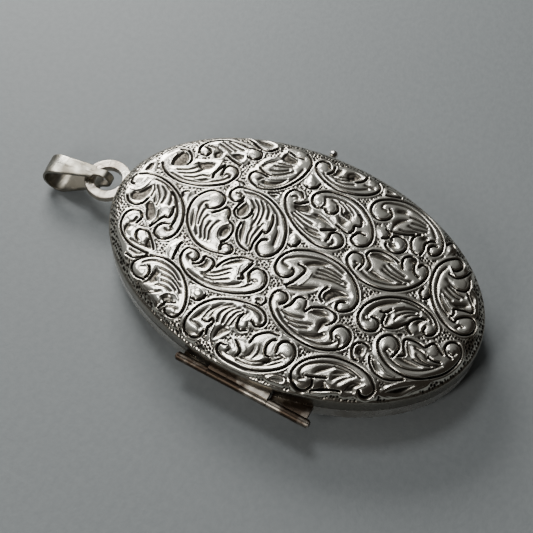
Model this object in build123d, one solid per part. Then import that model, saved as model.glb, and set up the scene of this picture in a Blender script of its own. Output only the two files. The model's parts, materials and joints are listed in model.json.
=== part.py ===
"""Oval hinged locket with an engraved front, a push catch and a hanging bail.

Millimetres, +Z up. The locket lies closed on its back. The origin is the middle of the
flat back face. +Y runs to the pendant ring, the hinge is on the -X side and the catch
button on the +X side.
"""

import math
import os

from build123d import *

# Case outline and heights
HALF_LENGTH = 27.5
HALF_WIDTH = 18.5
BACK_HEIGHT = 4.6
FRONT_HEIGHT = 4.36
SEAM_GAP = 0.04
BACK_SHOULDER = 2.9
FRONT_SHOULDER = 2.3
FRONT_DOME_RISE = 0.7
BACK_WALL = 0.6
FRONT_WALL = 0.6
FRONT_FACE = 0.85

# Snap rim, a band inside the back that the front closes over
RIM_THICKNESS = 0.5
RIM_DEPTH = 1.7
RIM_STAND = 0.9
RIM_CLEARANCE = 0.08

# Picture fittings, the same in both halves
SEAT_THICKNESS = 0.4
SEAT_REACH = 2.2
CARD_THICKNESS = 0.25
WINDOW_THICKNESS = 0.3
PICTURE_CLEARANCE = 0.1
FRAME_HEIGHT = 0.6
FRAME_REACH = 2.1
FRAME_CLEARANCE = 0.05
FRAME_ROUNDING = 0.3
FRAME_LIFT = 0.12

# Hinge
KNUCKLE_RADIUS = 0.6
PIN_RADIUS = 0.3
PIN_CLEARANCE = 0.03
PIN_FIT = 0.01
PIN_HEAD_RADIUS = 0.46
PIN_HEAD_LENGTH = 0.28
WALL_TO_KNUCKLE = 0.05
HINGE_CENTRE_Y = -3.0
HINGE_LENGTH = 19.4
MIDDLE_KNUCKLE_LENGTH = 8.8
MIDDLE_KNUCKLE_SHIFT = 0.7
KNUCKLE_GAP = 0.08
BEARER_THICKNESS = 0.9
BEARER_DROP = 0.12
BEARER_END_INSET = 0.5

# Push catch
CATCH_Y = 4.3
STALK_RADIUS = 0.3
STALK_HOLE_RADIUS = 0.42
STALK_DROP = 0.55
STALK_STAND = 1.6
BALL_RADIUS = 0.72
SPRING_THICKNESS = 0.22
SPRING_HEIGHT = 0.9
SPRING_LENGTH = 13.2
SPRING_ROOM = 0.45
SPRING_TAIL = 1.7
SPRING_TIP = 1.4
BLOCK_LENGTH = 1.5
RIVET_RADIUS = 0.28
RIVET_CLEARANCE = 0.1
RIVET_HEAD_RADIUS = 0.5
RIVET_HEAD_THICKNESS = 0.2
NOSE_WIDTH = 2.0
NOSE_HEIGHT = 0.4
NOSE_BITE = 0.16
NOSE_CLEARANCE = 0.05
KEEPER_REACH = 0.32
KEEPER_HEIGHT = 0.22
KEEPER_WIDTH = 2.4
KEEPER_NOTCH_ROOM = 0.5

# Pendant ring and bail
RING_OUTER_RADIUS = 3.45
RING_HOLE_RADIUS = 2.0
RING_THICKNESS = 1.05
RING_BITE = 0.45
RING_DROP = 0.7
RING_EDGE = 0.12
BAIL_STRAP = 0.45
BAIL_TONGUE_WIDTH = 1.2
BAIL_SHOULDER_WIDTH = 1.9
BAIL_WIDTH = 3.4
BAIL_TONGUE_RADIUS = 0.92
BAIL_LOOP_RADIUS = 1.95
BAIL_TONGUE_REACH = 2.3
BAIL_LOOP_REACH = 5.0
BAIL_SHOULDER_REACH = 1.3
BAIL_YAW = 10.0
BAIL_RING_ANGLE = 15.0
BAIL_GROUND_GAP = 0.02

# Heights that several pieces share
SEAM_Z = BACK_HEIGHT
FRONT_BASE_Z = SEAM_Z + SEAM_GAP
TOP_Z = FRONT_BASE_Z + FRONT_HEIGHT
RIM_TOP_Z = SEAM_Z + RIM_STAND
RIM_FOOT_Z = SEAM_Z - RIM_DEPTH
RIM_INSET = BACK_WALL + RIM_THICKNESS
STALK_Z = SEAM_Z - STALK_DROP
HINGE_X = -(HALF_WIDTH + WALL_TO_KNUCKLE + KNUCKLE_RADIUS)


def oval_block(inset, low, high):
    """A straight-sided solid of the case outline, taken in by inset."""
    outline = Plane.XY.offset(low) * Ellipse(HALF_WIDTH - inset, HALF_LENGTH - inset)
    return extrude(outline, amount=high - low)


def oval_band(outer_inset, inner_inset, low, high):
    """An oval band between two insets from the case outline."""
    return oval_block(outer_inset, low, high) - oval_block(inner_inset, low, high)


def wall_x(y, inset=0.0):
    """How far the case outline, taken in by inset, stands from the middle line at y."""
    share = y / (HALF_LENGTH - inset)
    return (HALF_WIDTH - inset) * math.sqrt(1.0 - share * share)


def box_between(low, high):
    """A block between two opposite corners."""
    size = [b - a for a, b in zip(low, high)]
    middle = [(a + b) / 2 for a, b in zip(low, high)]
    return Pos(*middle) * Box(*size)


def rod(radius, start, end):
    """A round rod from one point to another."""
    start, end = Vector(*start), Vector(*end)
    plane = Plane(origin=start, z_dir=end - start)
    return extrude(plane * Circle(radius), amount=(end - start).length)


def domed_block(inset, low, crown, rise, shoulder):
    """An oval block with a low dome on top and a round shoulder."""
    dome_radius = (HALF_LENGTH**2 + rise**2) / (2 * rise)
    ball = Pos(0, 0, crown - dome_radius) * Sphere(dome_radius)
    cap = ball & box_between(
        (-HALF_LENGTH - 2, -HALF_LENGTH - 2, low - 1), (HALF_LENGTH + 2, HALF_LENGTH + 2, crown + 1)
    )
    oval_cap = scale(cap, by=(HALF_WIDTH / HALF_LENGTH, 1, 1))
    block = oval_block(inset, low, crown + 1) & oval_cap
    rim = block.edges().filter_by(lambda e: e.center().Z > low + 0.5 and e.length > HALF_WIDTH)
    return fillet(rim, shoulder)


# ---------------------------------------------------------------- case shells


def back_cavity():
    """The hollow of the back shell."""
    block = oval_block(BACK_WALL, BACK_WALL, SEAM_Z)
    return fillet(block.faces().sort_by(Axis.Z)[0].edges(), BACK_SHOULDER - BACK_WALL)


def front_cavity():
    """The hollow of the front shell."""
    return domed_block(
        FRONT_WALL,
        FRONT_BASE_Z,
        TOP_Z - FRONT_FACE,
        FRONT_DOME_RISE,
        FRONT_SHOULDER - FRONT_WALL,
    )


def back_cover():
    """Back shell, with a hole for the catch stalk."""
    block = oval_block(0, 0, SEAM_Z)
    block = fillet(block.faces().sort_by(Axis.Z)[0].edges(), BACK_SHOULDER)
    reach = HALF_WIDTH + BALL_RADIUS
    hole = rod(STALK_HOLE_RADIUS, (HALF_WIDTH / 2, CATCH_Y, STALK_Z), (reach, CATCH_Y, STALK_Z))
    return block - back_cavity() - hole


def front_cover():
    """Front shell, whose low-domed face carries the engraving."""
    block = domed_block(0, FRONT_BASE_Z, TOP_Z, FRONT_DOME_RISE, FRONT_SHOULDER)
    return block - front_cavity()


def snap_rim():
    """Band inside the back, standing above the seam, notched for the catch."""
    inner = RIM_INSET
    foot = oval_band(BACK_WALL, inner, RIM_FOOT_Z, SEAM_Z)
    stand = oval_band(BACK_WALL + RIM_CLEARANCE, inner, SEAM_Z, RIM_TOP_Z)
    notch_half = KEEPER_WIDTH / 2 + KEEPER_NOTCH_ROOM
    notch = box_between(
        (HALF_WIDTH / 2, CATCH_Y - notch_half, SEAM_Z),
        (HALF_WIDTH + 1, CATCH_Y + notch_half, RIM_TOP_Z + 1),
    )
    hole = rod(STALK_HOLE_RADIUS, (HALF_WIDTH / 2, CATCH_Y, STALK_Z), (HALF_WIDTH, CATCH_Y, STALK_Z))
    return (foot & back_cavity()) + stand - notch - hole


# ---------------------------------------------------------------- picture fittings

BACK_SEAT_Z = RIM_FOOT_Z - WINDOW_THICKNESS - CARD_THICKNESS - SEAT_THICKNESS
PICTURE_INSET = RIM_INSET + PICTURE_CLEARANCE
FRAME_INSET = RIM_INSET + FRAME_CLEARANCE
FRONT_FRAME_Z = RIM_TOP_Z + FRAME_LIFT
SPRING_PIVOT_Y = CATCH_Y + SPRING_TIP - SPRING_LENGTH
SPRING_TAIL_Y = SPRING_PIVOT_Y - SPRING_TAIL
SPRING_X = min(wall_x(SPRING_TAIL_Y, RIM_INSET), wall_x(CATCH_Y + SPRING_TIP, RIM_INSET)) - SPRING_ROOM


def picture_seat(cavity, low):
    """Flat ledge soldered inside a shell, which the picture rests on."""
    slab = oval_block(0, low, low + SEAT_THICKNESS) & cavity
    return slab - oval_block(RIM_INSET + SEAT_REACH, low, low + SEAT_THICKNESS)


def picture_sheet(low, thickness):
    """An oval sheet: the picture card or its clear window."""
    return oval_block(PICTURE_INSET, low, low + thickness)


def picture_frame(outer_inset, low, open_side_up):
    """Oval ring that holds a picture and its window down on the seat."""
    ring = oval_band(outer_inset, RIM_INSET + FRAME_REACH, low, low + FRAME_HEIGHT)
    open_face = ring.faces().sort_by(Axis.Z)[-1 if open_side_up else 0]
    return fillet(open_face.edges(), FRAME_ROUNDING)


# ---------------------------------------------------------------- hinge

HINGE_TOP_Y = HINGE_CENTRE_Y + HINGE_LENGTH / 2
HINGE_BOTTOM_Y = HINGE_CENTRE_Y - HINGE_LENGTH / 2
MIDDLE_TOP_Y = HINGE_CENTRE_Y + MIDDLE_KNUCKLE_SHIFT + MIDDLE_KNUCKLE_LENGTH / 2
MIDDLE_BOTTOM_Y = MIDDLE_TOP_Y - MIDDLE_KNUCKLE_LENGTH


def hinge_knuckle(low_y, high_y, bore):
    """A length of hinge tube along Y."""
    outside = rod(KNUCKLE_RADIUS, (HINGE_X, low_y, SEAM_Z), (HINGE_X, high_y, SEAM_Z))
    inside = rod(bore, (HINGE_X, low_y - 1, SEAM_Z), (HINGE_X, high_y + 1, SEAM_Z))
    return outside - inside


def hinge_bearer(low_y, high_y, low_z):
    """Strip that fills the gap from the round case wall to a straight knuckle."""
    block = box_between(
        (HINGE_X, low_y, low_z), (-HALF_WIDTH / 2, high_y, low_z + BEARER_THICKNESS)
    )
    outside_only = block - oval_block(0, low_z - 1, low_z + BEARER_THICKNESS + 1)
    tube = rod(KNUCKLE_RADIUS, (HINGE_X, low_y - 1, SEAM_Z), (HINGE_X, high_y + 1, SEAM_Z))
    return outside_only - tube


def hinge_pin():
    """Steel pin with a spread head at each end."""
    shank = rod(PIN_RADIUS, (HINGE_X, HINGE_BOTTOM_Y, SEAM_Z), (HINGE_X, HINGE_TOP_Y, SEAM_Z))
    for end, way in ((HINGE_TOP_Y, 1), (HINGE_BOTTOM_Y, -1)):
        head = rod(PIN_HEAD_RADIUS, (HINGE_X, end, SEAM_Z), (HINGE_X, end + way * PIN_HEAD_LENGTH, SEAM_Z))
        outer_edge = head.faces().sort_by(Axis.Y)[-1 if way > 0 else 0].edges()
        shank += fillet(outer_edge, PIN_HEAD_LENGTH * 0.7)
    return shank


# ---------------------------------------------------------------- push catch


def catch_button():
    """Ball head and stalk, which goes through the wall to the spring."""
    ball_x = wall_x(CATCH_Y) + STALK_STAND + BALL_RADIUS
    stalk = rod(STALK_RADIUS, (SPRING_X, CATCH_Y, STALK_Z), (ball_x, CATCH_Y, STALK_Z))
    return stalk + Pos(ball_x, CATCH_Y, STALK_Z) * Sphere(BALL_RADIUS)


def catch_spring():
    """Flat spring strip along the inside of the snap rim, holed for its rivet."""
    top = STALK_Z + SPRING_HEIGHT / 2
    strip = box_between(
        (SPRING_X - SPRING_THICKNESS, SPRING_TAIL_Y, top - SPRING_HEIGHT),
        (SPRING_X, CATCH_Y + SPRING_TIP, top),
    )
    rivet_y = SPRING_PIVOT_Y - SPRING_TAIL / 2
    hole = rod(
        RIVET_RADIUS + RIVET_CLEARANCE, (SPRING_X - 1, rivet_y, STALK_Z), (SPRING_X + 1, rivet_y, STALK_Z)
    )
    return strip - hole


def catch_spring_block():
    """Small block inside the snap rim that the spring is riveted to."""
    middle = SPRING_PIVOT_Y - SPRING_TAIL / 2
    half = BLOCK_LENGTH / 2
    low, high = STALK_Z - SPRING_HEIGHT / 2, STALK_Z + SPRING_HEIGHT / 2
    block = box_between((SPRING_X + RIVET_CLEARANCE, middle - half, low), (HALF_WIDTH, middle + half, high))
    fitted = block & oval_block(RIM_INSET, low - 1, high + 1)
    return fitted - rod(RIVET_RADIUS, (SPRING_X - 1, middle, STALK_Z), (HALF_WIDTH, middle, STALK_Z))


def catch_rivet():
    """Rivet through the spring into its block, headed on the inside."""
    middle = SPRING_PIVOT_Y - SPRING_TAIL / 2
    face = SPRING_X - SPRING_THICKNESS - RIVET_CLEARANCE
    inside_rim = oval_block(RIM_INSET, STALK_Z - 1, STALK_Z + 1)
    shank = rod(RIVET_RADIUS, (face, middle, STALK_Z), (HALF_WIDTH, middle, STALK_Z)) & inside_rim
    return shank + rod(RIVET_HEAD_RADIUS, (face - RIVET_HEAD_THICKNESS, middle, STALK_Z), (face, middle, STALK_Z))


KEEPER_X = wall_x(CATCH_Y, FRONT_WALL) - KEEPER_REACH
KEEPER_TOP_Z = FRONT_BASE_Z + KEEPER_HEIGHT


def catch_nose():
    """Hook on the spring that holds the front's keeper down."""
    low = KEEPER_TOP_Z + NOSE_CLEARANCE
    foot = STALK_Z + SPRING_HEIGHT / 2
    half = NOSE_WIDTH / 2
    post = box_between(
        (SPRING_X - SPRING_THICKNESS, CATCH_Y - half, foot), (SPRING_X, CATCH_Y + half, low + NOSE_HEIGHT)
    )
    hook = box_between((SPRING_X, CATCH_Y - half, low), (KEEPER_X + NOSE_BITE, CATCH_Y + half, low + NOSE_HEIGHT))
    return post + chamfer(hook.edges().filter_by(Axis.Y).group_by(Axis.X)[-1].sort_by(Axis.Z)[-1], NOSE_HEIGHT * 0.6)


def catch_keeper():
    """Ledge soldered inside the front's lower edge."""
    half = KEEPER_WIDTH / 2
    ledge = box_between((KEEPER_X, CATCH_Y - half, FRONT_BASE_Z), (HALF_WIDTH, CATCH_Y + half, KEEPER_TOP_Z))
    return ledge & oval_block(FRONT_WALL, FRONT_BASE_Z, KEEPER_TOP_Z)


# ---------------------------------------------------------------- pendant ring and bail

RING_Z = SEAM_Z - RING_DROP
RING_CENTRE_Y = HALF_LENGTH + RING_OUTER_RADIUS - RING_BITE
BAND_RADIUS = (RING_OUTER_RADIUS + RING_HOLE_RADIUS) / 2


def pendant_ring():
    """Flat ring soldered to the end of the back, hollowed to fit its wall."""
    low = RING_Z - RING_THICKNESS / 2
    blank = Pos(0, RING_CENTRE_Y, RING_Z) * Cylinder(RING_OUTER_RADIUS, RING_THICKNESS)
    blank = chamfer(blank.edges().filter_by(GeomType.CIRCLE), RING_EDGE)
    hole = Pos(0, RING_CENTRE_Y, RING_Z) * Cylinder(RING_HOLE_RADIUS, RING_THICKNESS + 1)
    return blank - hole - oval_block(0, low - 1, low + RING_THICKNESS + 1)


def teardrop(thicken):
    """Side view of the bail's loop, in XY: +X to the chain end, the ring's band at 0."""
    small, large = BAIL_TONGUE_RADIUS + thicken, BAIL_LOOP_RADIUS + thicken
    span = BAIL_TONGUE_REACH + BAIL_LOOP_REACH
    lean = math.asin((large - small) / span)
    away = Vector(-math.sin(lean), math.cos(lean))
    tongue, loop = Vector(-BAIL_TONGUE_REACH, 0), Vector(BAIL_LOOP_REACH, 0)
    upper = [tongue + away * small, loop + away * large]
    lower = [Vector(p.X, -p.Y) for p in upper]
    outline = Wire(
        [
            Line(upper[0], upper[1]),
            ThreePointArc(upper[1], loop + Vector(large, 0), lower[1]),
            Line(lower[1], lower[0]),
            ThreePointArc(lower[0], tongue - Vector(small, 0), upper[0]),
        ]
    )
    return make_face(outline)


def bail():
    """Strap loop, wide at the chain end, with a narrow tongue through the ring."""
    side = teardrop(BAIL_STRAP) - teardrop(0)
    loop = Rot(90, 0, 0) * extrude(side, amount=BAIL_WIDTH / 2, both=True)
    tongue_end = -(BAIL_TONGUE_REACH + BAIL_TONGUE_RADIUS + BAIL_STRAP + 1)
    loop_end = BAIL_LOOP_REACH + BAIL_LOOP_RADIUS + BAIL_STRAP + 1
    half_plan = [
        (tongue_end, BAIL_TONGUE_WIDTH / 2),
        (-BAIL_SHOULDER_REACH, BAIL_TONGUE_WIDTH / 2),
        (-BAIL_SHOULDER_REACH, BAIL_SHOULDER_WIDTH / 2),
        (BAIL_LOOP_REACH, BAIL_WIDTH / 2),
        (loop_end, BAIL_WIDTH / 2),
    ]
    plan = half_plan + [(x, -y) for x, y in reversed(half_plan)]
    strap_height = 2 * (BAIL_LOOP_RADIUS + BAIL_STRAP) + 1
    template = extrude(make_face(Polyline(*plan, close=True)), amount=strap_height / 2, both=True)
    shape = loop & template
    droop = math.asin((RING_Z - BAIL_LOOP_RADIUS - BAIL_STRAP - BAIL_GROUND_GAP) / BAIL_LOOP_REACH)
    lowered = Rot(0, math.degrees(droop), 0) * shape
    turned = Rot(0, 0, 90 + BAIL_YAW) * lowered
    place = math.radians(BAIL_RING_ANGLE)
    across, along = BAND_RADIUS * math.sin(place), BAND_RADIUS * math.cos(place)
    return Pos(-across, RING_CENTRE_Y + along, RING_Z) * turned


# ---------------------------------------------------------------- all pieces


def all_pieces():
    """Every piece by its node name."""
    back_hollow, front_hollow = back_cavity(), front_cavity()
    card_z = BACK_SEAT_Z + SEAT_THICKNESS
    window_z = card_z + CARD_THICKNESS
    front_window_z = FRONT_FRAME_Z + FRAME_HEIGHT
    front_card_z = front_window_z + WINDOW_THICKNESS
    front_seat_z = front_card_z + CARD_THICKNESS
    back_bearer_z = SEAM_Z - BEARER_DROP - BEARER_THICKNESS
    front_bearer_z = FRONT_BASE_Z + BEARER_DROP
    outer_bore, middle_bore = PIN_RADIUS + PIN_FIT, PIN_RADIUS + PIN_CLEARANCE
    top_low = MIDDLE_TOP_Y + KNUCKLE_GAP
    bottom_high = MIDDLE_BOTTOM_Y - KNUCKLE_GAP
    return {
        "back_cover": back_cover(),
        "snap_rim": snap_rim(),
        "back_picture_seat": picture_seat(back_hollow, BACK_SEAT_Z),
        "back_picture_card": picture_sheet(card_z, CARD_THICKNESS),
        "back_picture_window": picture_sheet(window_z, WINDOW_THICKNESS),
        "back_picture_frame": picture_frame(FRAME_INSET, RIM_FOOT_Z, True),
        "front_cover": front_cover(),
        "front_picture_frame": picture_frame(FRONT_WALL, FRONT_FRAME_Z, False) & front_hollow,
        "front_picture_window": picture_sheet(front_window_z, WINDOW_THICKNESS),
        "front_picture_card": picture_sheet(front_card_z, CARD_THICKNESS),
        "front_picture_seat": picture_seat(front_hollow, front_seat_z),
        "hinge_knuckle_top": hinge_knuckle(top_low, HINGE_TOP_Y, outer_bore),
        "hinge_knuckle_middle": hinge_knuckle(MIDDLE_BOTTOM_Y, MIDDLE_TOP_Y, middle_bore),
        "hinge_knuckle_bottom": hinge_knuckle(HINGE_BOTTOM_Y, bottom_high, outer_bore),
        "hinge_pin": hinge_pin(),
        "hinge_bearer_top": hinge_bearer(top_low, HINGE_TOP_Y - BEARER_END_INSET, back_bearer_z),
        "hinge_bearer_middle": hinge_bearer(MIDDLE_BOTTOM_Y, MIDDLE_TOP_Y, front_bearer_z),
        "hinge_bearer_bottom": hinge_bearer(HINGE_BOTTOM_Y + BEARER_END_INSET, bottom_high, back_bearer_z),
        "catch_button": catch_button(),
        "catch_spring": catch_spring(),
        "catch_nose": catch_nose(),
        "catch_spring_block": catch_spring_block(),
        "catch_rivet": catch_rivet(),
        "catch_keeper": catch_keeper(),
        "pendant_ring": pendant_ring(),
        "bail": bail(),
    }


os.makedirs("parts", exist_ok=True)
for node, piece in all_pieces().items():
    export_step(piece, f"parts/{node}.step")
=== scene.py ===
"""Oval hinged locket in old silver: an engraved front, a push catch and a hanging bail.

Metres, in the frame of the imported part: +Z up, +Y to the pendant ring, the hinge on the -X side.
The engraving and the other small forms are worked out in millimetres and turned to metres when
a mesh is made.
"""

import json
import logging
import math
from dataclasses import dataclass, field
from enum import Enum

import bpy
import numpy as np
from mathutils import Matrix, Vector


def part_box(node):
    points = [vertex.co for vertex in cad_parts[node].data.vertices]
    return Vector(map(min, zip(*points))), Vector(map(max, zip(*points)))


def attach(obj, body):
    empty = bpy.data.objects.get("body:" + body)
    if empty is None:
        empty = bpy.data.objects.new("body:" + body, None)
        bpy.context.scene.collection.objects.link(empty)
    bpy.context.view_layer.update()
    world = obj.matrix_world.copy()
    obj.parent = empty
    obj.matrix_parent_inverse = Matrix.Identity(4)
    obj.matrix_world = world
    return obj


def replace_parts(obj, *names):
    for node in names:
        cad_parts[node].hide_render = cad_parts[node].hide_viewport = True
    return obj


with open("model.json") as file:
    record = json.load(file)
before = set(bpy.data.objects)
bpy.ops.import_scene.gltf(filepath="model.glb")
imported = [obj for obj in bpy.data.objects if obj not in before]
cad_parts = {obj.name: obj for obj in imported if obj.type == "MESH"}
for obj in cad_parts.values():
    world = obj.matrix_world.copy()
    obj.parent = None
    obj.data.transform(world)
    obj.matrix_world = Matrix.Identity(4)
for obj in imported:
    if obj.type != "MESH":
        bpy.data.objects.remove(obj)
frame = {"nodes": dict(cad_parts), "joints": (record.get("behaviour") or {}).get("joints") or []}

LOG = logging.getLogger("locket")
MM = 0.001
FULL_TURN = 2.0 * math.pi

Colour = tuple[float, float, float]
Socket = bpy.types.NodeSocket


# ---------------------------------------------------------------- finishes


class Wear(Enum):
    """How a silver surface has aged."""

    BRIGHT = "bright"
    HANDLED = "handled"
    SCRATCHED = "scratched"
    HAMMERED = "hammered"
    TARNISHED = "tarnished"
    INSIDE = "inside"


class Join(Enum):
    """How two values are made into one."""

    SUM = "ADD"
    PRODUCT = "MULTIPLY"
    LARGER = "MAXIMUM"


class ShaderSheet:
    """One material under construction, with short calls for the nodes the finishes share.

    Args:
        name: Name of the material.
    """

    def __init__(self, name: str) -> None:
        """Starts the material with an empty shader.

        Args:
            name: Name of the material.
        """
        self.material = bpy.data.materials.new(name)
        self.material.use_nodes = True
        tree = self.material.node_tree
        tree.nodes.clear()
        self.nodes = tree.nodes
        self.links = tree.links
        self.shader = self.nodes.new("ShaderNodeBsdfPrincipled")
        output = self.nodes.new("ShaderNodeOutputMaterial")
        self.links.new(self.shader.outputs["BSDF"], output.inputs["Surface"])
        self.place = self.nodes.new("ShaderNodeTexCoord").outputs["Object"]

    def set_shader(self, **values: float) -> None:
        """Sets shader sockets that are the same all over, with spaces written as underscores."""
        for name, value in values.items():
            self.shader.inputs[name.replace("_", " ")].default_value = value

    def noise(
        self, per_mm: float, detail: float = 3.0, stretch: tuple = (1.0, 1.0, 1.0), turn: float = 0.0
    ) -> Socket:
        """A noise value fixed to the piece.

        Args:
            per_mm: Spots to a millimetre.
            detail: Finer layers added to the noise.
            stretch: Scale along each axis before the noise is read.
            turn: Turn about Z, in degrees.

        Returns:
            The noise's value socket.
        """
        mapping = self.nodes.new("ShaderNodeMapping")
        mapping.inputs["Scale"].default_value = stretch
        mapping.inputs["Rotation"].default_value = (0.0, 0.0, math.radians(turn))
        self.links.new(self.place, mapping.inputs["Vector"])
        texture = self.nodes.new("ShaderNodeTexNoise")
        texture.inputs["Scale"].default_value = per_mm / MM
        texture.inputs["Detail"].default_value = detail
        self.links.new(mapping.outputs["Vector"], texture.inputs["Vector"])
        return texture.outputs["Fac"]

    def spread(
        self, value: Socket, low: float, high: float, at_low: float = 0.0, at_high: float = 1.0
    ) -> Socket:
        """Maps a value from one range to another, held at the ends.

        Args:
            value: The socket to map.
            low: Value that gives at_low.
            high: Value that gives at_high.
            at_low: Result at the low end.
            at_high: Result at the high end.

        Returns:
            The mapped socket.
        """
        node = self.nodes.new("ShaderNodeMapRange")
        node.inputs["From Min"].default_value = low
        node.inputs["From Max"].default_value = high
        node.inputs["To Min"].default_value = at_low
        node.inputs["To Max"].default_value = at_high
        self.links.new(value, node.inputs["Value"])
        return node.outputs["Result"]

    def combine(self, how: Join, first: Socket | float, second: Socket | float) -> Socket:
        """Makes one value out of two.

        Args:
            how: How they are joined.
            first: A socket or a number.
            second: A socket or a number.

        Returns:
            The joined socket.
        """
        node = self.nodes.new("ShaderNodeMath")
        node.operation = how.value
        for value, socket in ((first, node.inputs[0]), (second, node.inputs[1])):
            if isinstance(value, (int, float)):
                socket.default_value = value
            else:
                self.links.new(value, socket)
        return node.outputs["Value"]

    def blend(self, amount: Socket, first: Colour | Socket, second: Colour | Socket) -> Socket:
        """A colour between two others.

        Args:
            amount: 0 for the first, 1 for the second.
            first: A colour or the socket of one.
            second: A colour or the socket of one.

        Returns:
            The blended colour's socket.
        """
        node = self.nodes.new("ShaderNodeMix")
        node.data_type = "RGBA"
        self.links.new(amount, node.inputs[0])
        for value, socket in ((first, node.inputs[6]), (second, node.inputs[7])):
            if isinstance(value, tuple):
                socket.default_value = (*value, 1.0)
            else:
                self.links.new(value, socket)
        return node.outputs[2]

    def colour(self, socket: Socket) -> None:
        """Sends a colour to the shader."""
        self.links.new(socket, self.shader.inputs["Base Color"])

    def roughness(self, socket: Socket) -> None:
        """Sends a roughness to the shader."""
        self.links.new(socket, self.shader.inputs["Roughness"])

    def relief(self, height: Socket, depth: float) -> None:
        """Adds fine relief to the shader's normal.

        Args:
            height: Socket that holds the height, 0 to 1.
            depth: Depth of the relief in millimetres.
        """
        bump = self.nodes.new("ShaderNodeBump")
        bump.inputs["Strength"].default_value = 1.0
        bump.inputs["Distance"].default_value = depth * MM
        self.links.new(height, bump.inputs["Height"])
        self.links.new(bump.outputs["Normal"], self.shader.inputs["Normal"])


@dataclass(frozen=True)
class OldSilver:
    """Silver with handling scratches and tarnish.

    Args:
        name: Name of the material.
        wear: How the surface has aged.
        slot: The record's material slot, not used.
        bright: Colour of the clean metal.
        tarnish: Colour of the tarnished metal.
        tarnish_share: How much of the surface is tarnished, 0 to 1.
        smooth: Roughness where the metal is clean.
        rough: Roughness where it is tarnished.
        scratch_depth: Depth of the fine scratches in millimetres.
        dent_depth: Depth of the soft dents in millimetres.
    """

    name: str
    wear: Wear
    slot: str = "silver"
    bright: Colour = (0.80, 0.775, 0.735)
    tarnish: Colour = (0.33, 0.29, 0.235)
    tarnish_share: float = 0.35
    smooth: float = 0.16
    rough: float = 0.42
    scratch_depth: float = 0.003
    dent_depth: float = 0.012

    def material(self) -> bpy.types.Material:
        """Builds the material.

        Returns:
            The finished material.
        """
        sheet = ShaderSheet(self.name)
        sheet.set_shader(Metallic=1.0)
        film = sheet.noise(0.28, 5.0)
        middle = 0.62 - 0.32 * self.tarnish_share
        film = sheet.spread(film, middle - 0.12, middle + 0.14)
        specks = sheet.spread(sheet.noise(2.6, 4.0), 0.60, 0.72, 0.0, 0.55)
        film = sheet.combine(Join.LARGER, film, specks)
        film = sheet.combine(Join.PRODUCT, film, min(1.0, 0.35 + self.tarnish_share))
        lines = sheet.noise(2.2, 2.0, (1.0, 0.05, 1.0), 24.0)
        crossing = sheet.noise(1.8, 2.0, (0.05, 1.0, 1.0), 11.0)
        scratches = sheet.combine(
            Join.LARGER, sheet.spread(lines, 0.60, 0.68), sheet.spread(crossing, 0.61, 0.69)
        )
        sheet.colour(sheet.blend(film, self.bright, self.tarnish))
        gloss = sheet.spread(film, 0.0, 1.0, self.smooth, self.rough)
        gloss = sheet.combine(Join.SUM, gloss, sheet.spread(scratches, 0.0, 1.0, 0.0, 0.16))
        sheet.roughness(gloss)
        dents = sheet.combine(Join.PRODUCT, sheet.noise(0.55, 2.0), self.dent_depth)
        grooves = sheet.combine(Join.PRODUCT, scratches, -self.scratch_depth)
        height = sheet.combine(Join.SUM, dents, grooves)
        if self.wear is Wear.HAMMERED:
            facets = sheet.combine(Join.PRODUCT, sheet.noise(2.4, 3.0), 2.2 * self.dent_depth)
            height = sheet.combine(Join.SUM, height, facets)
        sheet.relief(height, 1.0)
        return sheet.material


@dataclass(frozen=True)
class EngravedSilver:
    """Engraved silver whose cuts keep a dark film while the high places are rubbed bright.

    Args:
        name: Name of the material.
        slot: The record's material slot, not used.
        bright: Colour of the rubbed high places.
        film: Colour of the dark film in the cuts, also of the painted shade and painted dark reflection.
        warm: Colour of the thin warm film beside the cuts, also tinting the painted shade and painted dark
            reflection.
        smooth: Roughness of the high places.
        rough: Roughness of the film.
        film_and_shade_layer: Name of the mesh's point layer that holds the depth of the film, with painted
            shade in the scoops and a painted dark reflection on the outer wall and plain border.
    """

    name: str = "rubbed_engraving"
    slot: str = "engraved_silver"
    bright: Colour = (0.71, 0.675, 0.595)
    film: Colour = (0.020, 0.017, 0.014)
    warm: Colour = (0.36, 0.325, 0.265)
    smooth: float = 0.17
    rough: float = 0.42
    film_and_shade_layer: str = "film"

    def material(self) -> bpy.types.Material:
        """Builds the material.

        Returns:
            The finished material.
        """
        sheet = ShaderSheet(self.name)
        sheet.set_shader(Metallic=1.0)
        layer = sheet.nodes.new("ShaderNodeAttribute")
        layer.attribute_name = self.film_and_shade_layer
        # The layer is patina in the cuts and pits, plus painted shade in the scoops and a painted dark
        # reflection on the outer wall and plain border.
        cuts = layer.outputs["Fac"]
        patches = sheet.spread(sheet.noise(0.22, 4.0), 0.38, 0.66)
        grain = sheet.spread(sheet.noise(3.2, 4.0), 0.35, 0.70, -0.12, 0.12)
        film = sheet.combine(Join.SUM, cuts, sheet.combine(Join.PRODUCT, grain, cuts))
        beside_cuts = sheet.spread(film, 0.05, 0.45, 0.0, 0.85)
        warmth = sheet.combine(Join.SUM, beside_cuts, sheet.spread(patches, 0.0, 1.0, 0.0, 0.22))
        skin = sheet.blend(warmth, self.bright, self.warm)
        sheet.colour(sheet.blend(sheet.spread(film, 0.13, 0.52), skin, self.film))
        gloss = sheet.spread(film, 0.0, 0.9, self.smooth, self.rough)
        gloss = sheet.combine(Join.SUM, gloss, sheet.spread(patches, 0.0, 1.0, 0.0, 0.08))
        sheet.roughness(gloss)
        tool_marks = sheet.noise(3.5, 3.0, (1.0, 0.35, 1.0), 35.0)
        rubbing = sheet.noise(9.0, 2.0, (0.12, 1.0, 1.0), -20.0)
        height = sheet.combine(Join.SUM, tool_marks, sheet.combine(Join.PRODUCT, rubbing, 0.35))
        sheet.relief(height, 0.010)
        return sheet.material


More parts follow.
